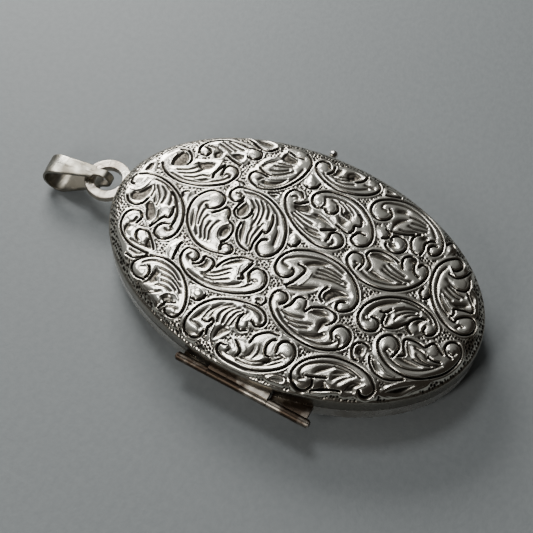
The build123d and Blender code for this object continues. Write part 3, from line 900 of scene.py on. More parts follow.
            "-8.5,-2.9 -8.5,-4.2 -8,-5.8", "-9.1,-3.8 -9,-5.2 -8.3,-7.2", "-9.6,-4.6 -9.5,-5.8 -9,-7",
            "-8.6,-2.4 -9.5,-3.6 -10.1,-5.2 -10.4,-6.8 -10.3,-9 -9.7,-10.4 -8.9,-11.1",
            "-9.4,-11.7 -8.8,-11.6 -8.3,-11.2 -8.3,-10.8", "-7,-5.4 -6.2,-5.3 -5.4,-5",
        ),
        hollows=(
            "-8.9,-8.4 -7.8,-8 -7,-8.2 -6.6,-8.9 -6.9,-9.1 -7.8,-8.8",
            "-10.2,-6.5 -9.8,-7 -9.2,-8.2 -8.5,-9 -8.7,-9.6 -9.4,-9.3 -10,-8.3 -10.3,-7.3",
            "-6.7,-6.1 -6,-6.9 -5.7,-8 -6.2,-8.7 -6.6,-7.7 -6.8,-6.8",
        ),
        bosses=("-7,-1.6,0.7", "-8,-11.3,0.95", "-6.9,-4.2,0.6"),
        ridges=("-7,-5.9 -6.9,-7 -6.6,-8.2",),
    ),
    Scroll(
        name="middle scroll",
        body=(
            "-4.3,-0.9 -4.3,0.6 -3.4,1.5 -1.8,1.6 -0.2,1 1.1,-0.4 2,-2.4 2.3,-4.6 2,-6.8 1.1,-8.8 "
            "-0.4,-10.4 -2.2,-11.2 -3.9,-11.1 -5,-10 -5.1,-8.6 -4.3,-8.2 -4.9,-7.2 -4.7,-6.3 -3.7,-5.9 "
            "-3,-5.7 -4.2,-4.9 -5.2,-3.3 -5.4,-1.8"
        ),
        grooves=(
            "-2.2,-1.1 -2.8,-1.5 -3.6,-1.2 -4,-0.5 -3.9,0.4 -3.2,1.1 -2,1.3 -0.8,1 0.3,0.2 1.1,-1 "
            "1.7,-2.5 1.9,-4.2 1.7,-5.9 1.2,-7.5 0.3,-9 -0.9,-10.2 -2.3,-10.9 -3.6,-10.8 -4.5,-10 "
            "-4.8,-9.1 -4.2,-8.7 -3.5,-8.9 -3.2,-9.5",
            "-4.9,-1.3 -4.3,-1.9 -3.4,-2.3 -2.4,-2.6 -1.6,-2.7 -1.2,-2.1 -1.2,-1.5",
            "-4.6,-6.8 -4.2,-6.2 -3.3,-6.1 -2.4,-6.5",
        ),
        veins=(
            "-2.3,-0.4 -2.1,0.4 -1.5,0.5 -0.8,-0.1 0,-1.2 0.6,-2.6 1,-4.2 1,-5.8 0.6,-7.3",
            "-1.9,-4.2 -1.5,-5.6 -1.2,-7 -1.2,-8.6", "-1.2,-4.3 -0.9,-5.6 -0.8,-7.8",
            "-0.6,-4.2 -0.4,-5.5 -0.4,-7.2 -0.7,-8.4", "0.2,-4.7 0.2,-6 -0.1,-7.4",
        ),
        hollows=(
            "-1,-2.2 -0.3,-2.4 0.5,-3.4 0.9,-4.6 0.9,-5.4 0.3,-4.6 -0.3,-3.5 -0.8,-2.8",
            "-5.2,-1.7 -4.7,-1.5 -4.4,-2.4 -3.9,-3.6 -3.2,-4.8 -3,-5.5 -3.8,-5 -4.6,-3.8 -5.1,-2.6",
            "-4.3,-6.7 -3.4,-6.5 -2.5,-6.9 -2,-7.8 -1.9,-9 -2.3,-9.6 -2.8,-8.7 -3.4,-8.1 -4.2,-7.6",
        ),
        bosses=("-3,-0.2,0.9", "-3.9,-9.7,0.65"),
        ridges=("-4.7,-7.6 -3.9,-8 -3.1,-8.7 -2.7,-9.6", "-4,-3 -2.8,-3.5 -1.6,-3.6"),
    ),
    Scroll(
        name="right centre leaf scroll",
        body=(
            "7.2,5.7 8.6,5.6 9.7,4.7 9.6,3.6 8.9,2.8 8.3,1.8 7.8,1 7.6,-0.6 7.1,-2 6.5,-3.2 6.2,-4.2 "
            "5.5,-5.1 4.3,-5.4 3,-4.6 2.4,-3 2.4,-1 3,1 4,3 5.4,4.7"
        ),
        grooves=(
            "8.7,3.2 9.4,3.8 9.4,4.7 8.7,5.3 7.7,5.4 6.5,4.9 5.4,4 4.4,2.7 3.6,1.3 3,-0.4 2.7,-2 2.9,-3.4 "
            "3.5,-4.5 4.4,-5.1 5.3,-4.8 5.9,-4 5.8,-3.3 5.2,-2.9 4.5,-3 3.9,-2.9",
            "7.3,3.7 7.6,3 8.1,2.4 8.4,2.2", "5.1,-1.5 5.5,-2.1 6.2,-3.2",
        ),
        veins=(
            "5.6,3.2 5,1.6 4.7,0.2 4.7,-1.2", "6,3 5.6,1.4 5.4,0", "6.3,2.6 6.3,1.2 6.6,0",
            "4.8,2.7 4.1,1.2 3.7,-0.5 3.8,-2.2", "3.5,-3.6 4,-3.9 4.5,-3.6", "8.1,4.6 8.4,4.1 8.2,3.8",
        ),
        hollows=(
            "6.4,3.3 7,3.6 7.7,2.6 8,1.9 7.7,1.3 7.1,1.2 6.5,2",
            "4.2,0.5 4.5,0.2 4.5,-1.4 4.2,-2.1 3.9,-1.2 3.9,-0.2",
            "6.8,0.6 7.3,0.2 7.2,-0.9 6.6,-2.4 6.3,-2.7 6.6,-1.2",
        ),
        bosses=("8.6,4.4,0.65", "4.7,-4,0.8", "5.8,-1.3,0.55"),
        ridges=("7.5,3.9 7.9,3.2 8.5,2.9",),
    ),
    Scroll(
        name="catch-side hanging scroll",
        body=(
            "8,-0.2 8,1.2 8.8,2.2 10,2.4 11.2,1.6 12.1,-0.2 12.3,-2.4 11.9,-4.4 10.9,-6.1 9.4,-7.7 "
            "7.6,-8.5 5.8,-8.3 5,-7 5.2,-5.8 6.2,-5.3 6.3,-4.4 6.8,-2.8 7.6,-2 7.8,-1.2"
        ),
        grooves=(
            "8.5,0.1 8.2,0.9 8.6,1.7 9.6,2.1 10.6,1.7 11.4,0.7 11.8,-0.7 12,-2.2 11.7,-3.8 11,-5.3 "
            "10,-6.6 8.8,-7.6 7.4,-8.2 6.2,-8.1 5.5,-7.3 5.4,-6.4 5.9,-5.7 6.8,-5.8 7.5,-6.3 7.5,-7",
            "8.6,-0.2 8.1,-0.9 8.4,-1.7 9.2,-2 9.9,-1.6",
            "7,-2.9 6.7,-3.8 6.6,-4.9 7.3,-5.3 8.1,-5.2 8.5,-5.9 9.4,-5.6 10.1,-4.8",
        ),
        veins=(
            "10.4,0.5 10.9,-0.6 11.1,-2 10.9,-3.4 10.3,-4.8 9.2,-6.2", "10.6,-1.6 10.2,-2.6 9.7,-3.4",
            "10.8,-2.4 10.3,-3.4 9.6,-4.3", "10.4,-0.6 9.9,-2.2 9,-2.8", "8.5,0.2 9.3,0 10,0.3",
        ),
        hollows=(
            "8.2,-2.6 8.5,-2.5 8.4,-3.4 8.1,-4 7.4,-3.7 7.6,-3",
            "8.8,-2.8 9.5,-2.9 9.8,-3.6 9.4,-4.2 8.7,-4.3 8.5,-3.7",
        ),
        bosses=("9.6,1,0.7", "6.4,-7,0.9", "9,-0.9,0.6"),
        ridges=("8.4,0.4 9.2,0.3 10,0.7", "8.9,-2.5 8.6,-3.4 8.4,-4.3"),
    ),
    Scroll(
        name="catch-side rim scroll",
        body=(
            "13.2,4 14.6,4.8 16,4.3 16.3,3.1 16.1,1.5 16.6,0.2 17,-1.6 16.8,-3.2 16.6,-4.6 15.8,-5.6 "
            "14.4,-5.4 13.1,-4.1 12.3,-2.4 12,-0.2 12.3,2"
        ),
        grooves=(
            "15.3,2.4 15.9,2.9 15.9,3.7 15.3,4.3 14.4,4.2 13.6,3.5 12.9,2.3 12.5,0.9 12.4,-0.5 12.7,-2 "
            "13.1,-3.2 13.8,-4.4 14.7,-5.2 15.7,-5.4 16.5,-4.8", "14.1,2.2 14.9,1.7 15.8,1.8",
            "14.9,-2 15.7,-2.8 16.7,-3",
        ),
        veins=(
            "13.9,2.6 13.3,1.4 13.1,0 13.3,-1.4 13.9,-2.8 14.7,-3.9", "14.1,1.3 14.2,0 14.8,-1.1",
            "13.7,0.5 13.9,-0.8 14.4,-1.9", "14.6,0.4 15,-0.5 15.5,-1.4", "15.1,-3.3 15.2,-4.6",
        ),
        hollows=(
            "14.1,1.9 14.6,1.5 15.6,1.4 15.9,0.6 15.2,0.6 14.4,1",
            "14.6,-0.9 15.4,-1.9 16.2,-2.3 16.4,-1 15.6,-0.2",
        ),
        bosses=("14.8,3.2,0.7", "16,-4,0.6"),
    ),
    Scroll(
        name="lower right bell scroll",
        body=(
            "1.9,-6.9 3.2,-6.2 4.6,-6.7 4.9,-8.1 6.2,-8.8 6.8,-10.6 6.6,-12.6 7.8,-13.4 8,-14.6 7.6,-15.5 "
            "7.6,-16.6 6.6,-17.4 4.8,-17.3 2.8,-16.2 1.2,-14.2 0.5,-11.6 0.7,-9.2"
        ),
        grooves=(
            "2.2,-8.7 3.2,-8.9 4.1,-8.5 4.5,-7.7 4.2,-6.9 3.4,-6.6 2.5,-6.8 1.6,-7.8 1,-9.2 0.8,-10.9 "
            "1,-12.6 1.6,-14.2 2.6,-15.5 3.8,-16.5 5.2,-17.1 6.4,-17.1 7.2,-16.6 7.3,-15.9 6.7,-15.6",
            "2.7,-9.8 3.4,-9.9 4,-9.4 4.7,-8.7 5.6,-8.9 6.2,-9.9 6.4,-11 6.2,-12.2 5.9,-12.9",
            "5.3,-13.8 6,-13.4 6.9,-13.3 7.5,-13.7 7.7,-14.3 7.3,-14.9 6.5,-15 5.6,-15.4 5.2,-16.2",
        ),
        veins=(
            "2.1,-9.2 1.7,-10.6 1.8,-12.2 2.4,-13.8 3.4,-15.3", "4.4,-11.6 3.9,-12.8 3.8,-14.6 4,-15.6",
            "3.7,-11.6 3.4,-13 3.3,-14.7", "5,-12 4.6,-13.2 4.3,-14.6", "2.1,-8.2 2.8,-8.3 2.9,-7.9",
        ),
        hollows=(
            "2.8,-10 3,-10.8 2.8,-12 2.8,-13.8 2.4,-13.2 2.2,-11.8 2.4,-10.6",
            "5,-9 5.7,-9.4 6.1,-10.6 5.9,-12 5.5,-12.6 5.2,-11.2 5.1,-10",
            "6.9,-14.4 7.5,-14.2 7.5,-14.8 6.9,-14.9",
        ),
        bosses=("3.2,-7.7,0.8", "6.1,-16.3,0.65", "6.1,-14.2,0.8"),
        ridges=("4.7,-9.2 4.9,-10.4 5.1,-11.8",),
    ),
    Scroll(
        name="small curl and bud",
        body=(
            "7.1,-10 8,-9.3 8.6,-8.3 9.4,-7.9 10.1,-8.9 10,-10 9.9,-11.4 9.6,-12.6 8.4,-13.1 7.2,-12.6 "
            "6.7,-11.3"
        ),
        grooves=(
            "7.9,-10.1 7.4,-10.2 7,-11.2 7.2,-12.2 8,-12.8 9,-12.7 9.7,-11.9 9.7,-11 9.1,-10.4 8.6,-10.6",
            "8.3,-9.3 8.7,-9.9 9.5,-9.9 9.9,-9.2",
        ),
        hollows=("7.9,-10.3 8.2,-10.5 8.3,-11.2 7.9,-11.6 7.6,-11",),
        bosses=("8.6,-11.6,0.75", "9.2,-9,0.6"),
    ),
    Scroll(
        name="lower catch-side scroll",
        body=(
            "10.6,-6.5 11.6,-5.5 13.2,-5.4 14.8,-6.6 15.8,-8.6 16.1,-11 15.6,-13.4 14.2,-15.6 12.4,-17 "
            "10.6,-17.6 9.2,-17.1 8.8,-16 8.9,-15.3 8.1,-14.8 8.3,-13.5 9.6,-12.8 10.6,-12.6 9.7,-10.8 "
            "9.9,-9.3 11,-9.1 10.5,-7.9"
        ),
        grooves=(
            "13.2,-8.1 12.4,-8.8 11.5,-8.6 10.9,-7.8 10.9,-6.8 11.5,-6 12.5,-5.7 13.6,-6 14.5,-7 "
            "15.2,-8.4 15.6,-10 15.6,-11.8 15.1,-13.4 14.2,-14.8 13.1,-16 11.8,-16.9 10.6,-17.2 9.7,-16.9 "
            "9.3,-16.2 9.6,-15.7 10.2,-15.5 10.8,-15.8 11,-16.3",
            "8.4,-14.5 8.6,-13.7 9.3,-13.2 10.2,-12.9 11.1,-13.1 11.6,-13.6",
            "8.5,-14.9 9.4,-15 10.4,-14.8 11.2,-15.1 11.6,-15.8", "9.9,-9.9 10.2,-11 10.6,-12 11.2,-12.9",
        ),
        veins=(
            "12.7,-7.9 12.8,-7.2 13.4,-7 14,-7.4 14.5,-8.6 14.8,-10 14.7,-11.8 14.2,-13.2 13.3,-14.6 "
            "12.2,-15.6", "10.8,-10.8 11,-11.8 11.6,-12.9 12,-14", "12,-11.6 12,-12.6 12.4,-14.2",
            "12.7,-11.8 12.9,-12.8 13,-14", "13.5,-11.2 13.6,-12.4 13.4,-13.6",
        ),
        hollows=(
            "13.2,-9.2 13.8,-9.2 14.2,-10.2 13.8,-10.7 13.4,-10",
            "10.2,-9.9 11.2,-9.6 12.2,-9.9 12.9,-10.8 12.9,-11.3 12,-10.6 11,-10.1",
            "10.9,-14 11.5,-14 11.7,-14.7 11.1,-14.8",
        ),
        bosses=("12.1,-7.3,1", "10.4,-16.3,0.6", "9.9,-14.1,0.95"),
    ),
    Scroll(
        name="lower hinge-side feather scroll",
        body=(
            "-16.9,-10.9 -17.1,-9.4 -16.4,-8.2 -15.2,-7.7 -13.6,-8 -12,-9.4 -10.7,-11.4 -10.1,-13.6 "
            "-10.1,-15.6 -10.7,-17.4 -12,-18.7 -13.3,-18.8 -14.2,-17.6 -14.1,-16.5 -14.8,-15.4 -15,-14.3 "
            "-15.8,-13 -16.6,-11.8"
        ),
        grooves=(
            "-15,-10.9 -15.8,-11.1 -16.6,-10.6 -16.8,-9.7 -16.4,-8.7 -15.5,-8.1 -14.3,-8.2 -13,-8.9 "
            "-11.8,-10.2 -11,-11.6 -10.6,-13.2 -10.5,-15 -10.8,-16.6 -11.6,-17.8 -12.5,-18.4 -13.4,-18 "
            "-13.7,-17.2 -13.3,-16.6", "-14.9,-10 -14.6,-10.8 -14.2,-11.6 -13.9,-12.3",
            "-16.2,-11.4 -15.6,-12.5 -15,-13.6 -14.6,-14.6",
        ),
        veins=(
            "-15.4,-9.6 -14.9,-9 -13.8,-9.2 -12.8,-10.2 -12,-11.5 -11.5,-13 -11.4,-14.6 -11.8,-16.2",
            "-15.6,-9.4 -15.3,-9.9 -15,-9.6", "-12,-12.6 -11.8,-14 -11.9,-15.4",
        ),
        hollows=(
            "-14.1,-10.7 -13.2,-10.9 -12.4,-11.9 -12.2,-12.6 -13,-12 -13.6,-11.4",
            "-16.1,-11.6 -15.5,-12 -14.5,-12.3 -14.8,-12.9 -15.2,-13.5 -15.8,-12.7",
            "-13,-12.9 -12.5,-12.9 -12,-13.9 -12,-14.6 -12.5,-14",
            "-13.9,-13.1 -13.2,-13 -12.6,-13.8 -12.3,-14.6 -13,-13.9",
            "-14,-13.9 -13.3,-13.9 -12.6,-14.5 -12.3,-15.2 -13,-14.7",
            "-14.4,-15 -13.4,-15 -12.6,-15.5 -12.3,-16.4 -12.6,-16.7 -13.4,-16.2 -14,-16.1",
        ),
        bosses=("-15.9,-9.9,0.95", "-12.8,-17.4,0.65"),
        ridges=("-13.9,-16.4 -13,-16.5 -12.4,-17",),
    ),
    Scroll(
        name="small hooded bud",
        body="-10,-14.9 -9.9,-13.8 -8.8,-13.2 -7.4,-13.3 -6.9,-14.4 -7.3,-15.4 -8.4,-15.1 -9.4,-15",
        grooves=("-9.8,-14.6 -9.8,-14 -9.2,-13.5 -8.2,-13.3 -7.5,-13.7 -7.2,-14.5 -7.5,-15.2",),
        hollows=("-9,-14 -8.2,-13.9 -7.9,-14.6 -8.4,-14.9 -9,-14.8",),
        bosses=("-9.4,-14.4,0.4",),
    ),
    Scroll(
        name="side leaf of the lower scrolls",
        body=(
            "-8.2,-15.5 -8.3,-16.6 -8.8,-18 -9,-20 -8.8,-21.4 -9.6,-20.8 -10.6,-19.2 -10.5,-17.4 "
            "-9.6,-16.2"
        ),
        grooves=("-8.5,-15.8 -9.3,-16.2 -10,-17 -10.3,-18 -10.3,-18.9 -9.9,-19.9 -9.2,-20.9",),
        hollows=("-8.6,-15.9 -8.5,-16.5 -9.1,-17.3 -9.9,-17.9 -9.9,-17.1 -9.3,-16.3",),
        ridges=("-8.8,-17.3 -9.5,-18.5 -9.5,-19.7",),
    ),
    Scroll(
        name="lower centre scroll",
        body=(
            "-5.7,-13.2 -5.1,-12 -3.7,-11.4 -2,-11.5 -0.4,-12.4 1,-14 1.8,-16.2 1.9,-18.4 1.3,-20.4 "
            "0.1,-21.8 -1.2,-22 -2.3,-21.2 -2.3,-20.2 -3.1,-19.4 -2.9,-18.2 -3.4,-17.2 -4,-16 -3.9,-15.1 "
            "-5,-15.1 -5.7,-14.4"
        ),
        grooves=(
            "-3.3,-13.5 -3.3,-14.2 -3.9,-14.8 -4.8,-14.8 -5.4,-14 -5.4,-13 -4.8,-12.2 -3.8,-11.8 "
            "-2.4,-11.9 -1,-12.6 0.2,-13.8 1,-15.2 1.5,-16.8 1.5,-18.4 1.1,-19.8 0.3,-21 -0.7,-21.7 "
            "-1.6,-21.5 -2.1,-20.8 -1.8,-20.2 -1,-20.2",
            "-2.2,-14.9 -3.6,-15.1 -3.7,-16 -3.1,-17 -2.4,-17.5 -1.8,-17.9", "-2,-14.2 -1.7,-14.9 -1,-15.3",
            "-2.9,-19 -2.5,-18.2 -1.6,-18.1 -0.8,-18.5 -0.2,-19.2 0,-19.9",
        ),
        veins=(
            "-2.2,-16.2 -1.2,-16.6 -0.4,-17.3 0.1,-18.2", "-1,-15.9 -0.3,-16.6 0.3,-17.6 0.5,-18.6",
            "-1.1,-17.4 -0.4,-18 0,-18.8", "0.8,-15.8 1,-17.2 1,-18.6 0.5,-20 -0.2,-20.8",
            "-3.9,-13.4 -4.1,-12.9 -3.7,-12.6",
        ),
        hollows=(
            "-3.6,-12.9 -2.6,-12.7 -1.4,-13.2 -0.3,-14.1 0.4,-15.2 0.7,-16.2 0.1,-15.6 -0.8,-14.5 "
            "-1.8,-13.6 -2.9,-13.2", "-3.5,-15.4 -2.6,-15.1 -1.7,-15.4 -2.2,-15.8 -3,-15.9",
            "-3.6,-16.2 -3,-16.4 -2.3,-17.1 -1.8,-17.7 -2.6,-17.4 -3.3,-16.9",
            "-1.4,-18.8 -0.6,-18.9 -0.1,-19.6 -0.2,-20 -0.8,-19.6 -1.4,-19.4",
        ),
        bosses=("-4.6,-13.7,0.85", "-1.3,-20.9,0.6", "-2.1,-18.9,0.65"),
        ridges=("-2,-19.9 -1.3,-19.7 -0.6,-20", "-1.8,-14.4 -1.3,-15 -0.4,-15.6 0.2,-16.4"),
    ),
    Scroll(
        name="foot scroll, hinge side",
        body=(
            "-7.3,-15.8 -6,-15.4 -4.6,-15.9 -4,-17 -4.2,-18.2 -3.4,-18.9 -3.2,-20.4 -3.3,-21.4 -2.4,-21.9 "
            "-2.4,-22.9 -1.6,-23.4 -0.8,-24.4 -0.8,-25.4 -1.8,-26.2 -3.4,-26.4 -5.2,-25.8 -7,-24.5 "
            "-8.4,-22.6 -9.1,-20.4 -8.9,-18.2 -8.3,-16.8"
        ),
        grooves=(
            "-7.1,-18.3 -6.4,-18.5 -5.4,-18.5 -4.6,-17.8 -4.4,-16.9 -5,-16.1 -6,-15.8 -7,-16.2 -7.9,-17.2 "
            "-8.5,-18.6 -8.7,-20.2 -8.5,-21.6 -7.9,-22.9 -7,-24 -5.8,-25.1 -4.4,-25.8 -2.9,-26.1 "
            "-1.8,-25.8 -1.1,-25 -1.2,-24.2 -1.8,-23.7 -2.6,-23.7 -3.2,-24.2 -3.4,-25",
            "-6.6,-18.9 -6.1,-19.6 -5.6,-19.3 -5,-18.9 -4.1,-18.7 -3.7,-19.4 -3.6,-20.4 -3.7,-21.4 "
            "-2.9,-21.9 -2.6,-22.4 -3.1,-23 -3.5,-23.8", "-4.8,-22.4 -4.9,-23.2 -4.7,-24",
        ),
        veins=(
            "-6.9,-17.3 -7.5,-18.4 -7.8,-19.8 -7.5,-21.2 -6.9,-22.4 -6,-23.5 -5,-24.3",
            "-5.3,-20.9 -5.7,-21.9 -5.6,-23.2 -5.2,-24", "-4.5,-20.4 -4.6,-21.6 -5.1,-22.4",
            "-6.1,-20.8 -6.1,-22 -5.8,-23.2", "-2.9,-24.4 -2.9,-25 -2.5,-25.2",
            "-6.9,-17.2 -6.4,-17.3 -6.5,-17.8",
        ),
        hollows=(
            "-6.9,-19.1 -6.6,-19.4 -6.5,-20.6 -6.5,-22 -6.8,-21.8 -7.1,-20.6 -7.1,-19.6",
            "-5.7,-19.9 -5.1,-19.4 -4.4,-19.1 -4.5,-19.5 -5.2,-20.1 -5.9,-20.5",
        ),
        bosses=("-5.8,-17.2,0.9", "-2.2,-24.7,0.7", "-3.8,-22.6,0.65"),
        ridges=("-4.3,-19.4 -4.1,-20.6 -4.3,-21.6",),
    ),
    Scroll(
        name="long rim leaf",
        body=(
            "-12.3,-19.1 -11.2,-19.5 -9.8,-20.7 -8.8,-22.2 -7.4,-23.8 -8.2,-23.9 -9.8,-22.7 -11.2,-21.7 "
            "-12,-20.4"
        ),
        hollows=("-11.9,-19.6 -10.8,-20.4 -9.6,-21.7 -8.8,-22.8 -9.8,-22.3 -10.9,-21.6 -11.6,-20.6",),
        ridges=("-12,-19.2 -10.8,-19.9 -9.4,-21.2 -8.4,-22.6 -7.4,-23.7",),
    ),
    Scroll(
        name="foot scroll, catch side",
        body=(
            "0.3,-25.3 0,-23.8 0.3,-22.2 1.2,-20.6 2.8,-19 4.8,-17.9 6.8,-17.4 8.6,-17.4 10.2,-18.3 "
            "11.1,-19.7 10.8,-21 9.8,-21.3 10.6,-22.2 9,-22.8 7.4,-23.2 6.9,-24.2 5.4,-25 4.2,-25.1 "
            "3.6,-25.2 3.2,-26 2,-26.4"
        ),
        grooves=(
            "1.7,-22.5 1.6,-23.2 2.2,-23.3 3,-24.1 3.3,-25 2.9,-25.7 2.1,-26 1.1,-25.7 0.4,-24.8 "
            "0.3,-23.6 0.6,-22.4 1.2,-21.2 2.2,-20 3.4,-19 4.8,-18.2 6.4,-17.8 8,-17.7 9.4,-18.2 "
            "10.4,-19.1 10.8,-19.9 10.4,-20.6 9.6,-20.7 8.9,-20.3 8.7,-19.8",
            "2.1,-22.4 2.7,-22.6 3.3,-22.4 3.8,-23.6 4.1,-24.7 5,-24.3 5.8,-23.5 6.4,-23",
            "7.9,-19.6 7.8,-20.6 8.3,-21.3 9.2,-21.8 10.2,-22", "6.2,-21.6 6.6,-22.6 7.6,-22.8 8.6,-22.4",
        ),
        veins=(
            "2,-22 2.6,-20.9 3.6,-19.8 4.8,-19.1 6.2,-18.7 7.6,-18.6 8.6,-18.9",
            "4.9,-19.9 4.5,-20.8 4.3,-21.5", "5.6,-20.2 5.1,-21.4 5,-22.4", "6.1,-20.4 5.7,-21.6 5.6,-22.8",
            "6.9,-19.7 6.4,-20.6 6.2,-21.6", "0.9,-23.8 1.4,-24 1.4,-24.4",
        ),
        hollows=(
            "2.3,-21.7 3,-20.8 4,-19.9 4.3,-20.1 3.6,-21 2.9,-22 2.4,-22.3",
            "3.9,-21.7 4.3,-22.2 4.9,-23.4 4.8,-23.9 4.2,-23.6 3.7,-22.8",
            "5.1,-24.2 5.8,-23.5 6.5,-23.1 6.6,-23.6 6.3,-24.2 5.5,-24.5",
        ),
        bosses=("1.9,-24.8,1", "9.7,-19.7,0.75", "7.2,-21.4,0.95"),
        ridges=("9,-19.2 8.4,-19.7 8.1,-20.3", "3,-21.9 3.9,-20.6 5,-19.9"),
    ),
    Scroll(
        name="bud by the crown scroll",
        body="0.6,18.3 1.4,18.2 1.9,17.3 1.6,16.7 0.6,16.8 -0.2,16.9",
        grooves=("0.5,17.9 1.2,18.2 1.7,17.6",),
        bosses=("1.2,17.5,0.45",),
    ),
    Scroll(
        name="bud by the great scroll",
        body="5.6,13 6.5,12.8 6.9,12 6.6,11.4 5.9,11.8",
        grooves=("6.6,12.7 6.8,11.9 6.5,11.4",),
        bosses=("6.1,12.3,0.4",),
    ),
    Scroll(
        name="hood over the S scroll",
        body="-9.2,14.2 -8.2,15.1 -6.9,15.2 -5.9,14.6 -5.9,13.9 -7.2,14 -8.6,13.6",
        grooves=("-8.8,13.7 -7.6,13.9 -6.4,14 -6,13.9",),
        bosses=("-7.2,14.5,0.55",),
    ),
    Scroll(
        name="bud at the hinge side",
        body="-12.8,8.4 -11.9,9.4 -11,9.2 -10.8,8 -11.4,7.1 -12.4,7.4",
        grooves=("-12.6,8.5 -12.6,7.7 -12,7.1 -11.3,7",),
        bosses=("-11.6,8,0.6",),
    ),
    Scroll(
        name="drop between the scrolls",
        body="-9,1.2 -8.4,1.3 -7.9,0.6 -7.8,-0.1 -8.3,-0.4 -8.9,-0.3",
        grooves=("-9,0.6 -9,-0.1 -8.5,-0.4 -7.9,-0.2",),
        hollows=("-8.8,1 -8.4,0.9 -8.1,0.2 -8.6,0",),
    ),
    Scroll(
        name="thorn by the shell scroll",
        body="6.5,8 7.1,7.6 7.8,6.5 7.2,5.9 6.5,6.2 6.3,7",
        grooves=("6.9,7.8 7.4,7.1 7.7,6.5",),
        hollows=("6.6,7.3 7,7 7.2,6.4 6.7,6.5",),
    ),
    Scroll(
        name="leaf under the great scroll",
        body="0.8,1.4 1.8,1.6 2.7,1.4 2.6,0.6 1.9,0 1,0.4",
        grooves=("0.9,1.3 0.8,0.8 1.3,0.2 2.1,0.1",),
        bosses=("1.9,0.9,0.5",),
    ),
    Scroll(
        name="leaf by the catch",
        body="10.5,3.4 11.2,4.2 12.6,4.3 13,3.9 12.4,2.8 11.9,2.2 11,2.5",
        grooves=("10.7,4 10.6,3.2 11.2,2.4 12,2.2",),
        bosses=("11.5,3.3,0.6",),
    ),
    Scroll(
        name="bud in the fork",
        body="2.6,-17.6 3.2,-17.3 4.4,-17.5 4.9,-17.8 4.2,-18.6 3.2,-18.7 2.6,-18.3",
        grooves=("4.2,-17.5 3.2,-17.4 2.6,-18 2.9,-18.6 3.6,-18.8",),
        bosses=("3.6,-18,0.45",),
    ),
    Scroll(
        name="leaf at the lower rim",
        body="10.2,-18 11.2,-17.6 12.6,-17.4 13,-18 12.2,-18.8 11,-18.6",
        grooves=("12,-17.4 12.9,-17.9 12.4,-18.4",),
        bosses=("11.6,-18.1,0.45",),
    ),
    Scroll(
        name="leaf at the catch-side rim",
        body="15.2,-6.6 16,-6 16.6,-6.4 16.5,-8 15.9,-8.6",
        grooves=("15.2,-6.6 15.5,-7.6 15.9,-8.6",),
        hollows=("15.6,-6.6 16.1,-6.4 16.2,-7.4 15.9,-7.6",),
    ),
    Scroll(
        name="leaf at the hinge-side rim",
        body="-17.6,-5.6 -16.8,-6.2 -16.4,-7.2 -16.5,-8 -17.4,-7.8",
        hollows=("-17.4,-6 -16.9,-6.5 -16.7,-7.2 -16.7,-7.7 -17.2,-7.5",),
    ),
    Scroll(
        name="leaf at the ring-side rim",
        body="1.5,25.2 3.6,25.3 4,24.4 2.4,23.8",
        hollows=("1.8,24.9 3.3,24.9 3.5,24.4 2.4,24.2",),
    ),
)


def read_points(text: str) -> np.ndarray:
    """Reads a string of "x,y" points into rows of numbers."""
    return np.array([[float(number) for number in point.split(",")] for point in text.split()])


def drawn_curve(text: str, closed: bool = False, step: float = 0.12) -> np.ndarray:
    """A smooth curve through drawn points.

    Args:
        text: The points, as "x,y" pairs.
        closed: Whether the curve returns to its start.
        step: Spacing of the returned points in millimetres.

    Returns:
        Points along the curve, one row each.
    """
    knots = read_points(text)
    if closed:
        knots = np.vstack([knots[-1:], knots, knots[:2]])
    else:
        knots = np.vstack([2 * knots[:1] - knots[1:2], knots, 2 * knots[-1:] - knots[-2:-1]])
    runs = []
    for before, start, end, after in zip(knots, knots[1:], knots[2:], knots[3:]):
        count = max(2, int(np.linalg.norm(end - start) / step))
        t = np.linspace(0.0, 1.0, count, endpoint=False)[:, None]
        runs.append(
            0.5
            * (
                2 * start
                + (end - before) * t
                + (2 * before - 5 * start + 4 * end - after) * t**2
                + (3 * start - before - 3 * end + after) * t**3
            )
        )
    tail = knots[-2:-1]
    return np.vstack([*runs, tail])


FAR = 9.0
MARGIN = 0.8


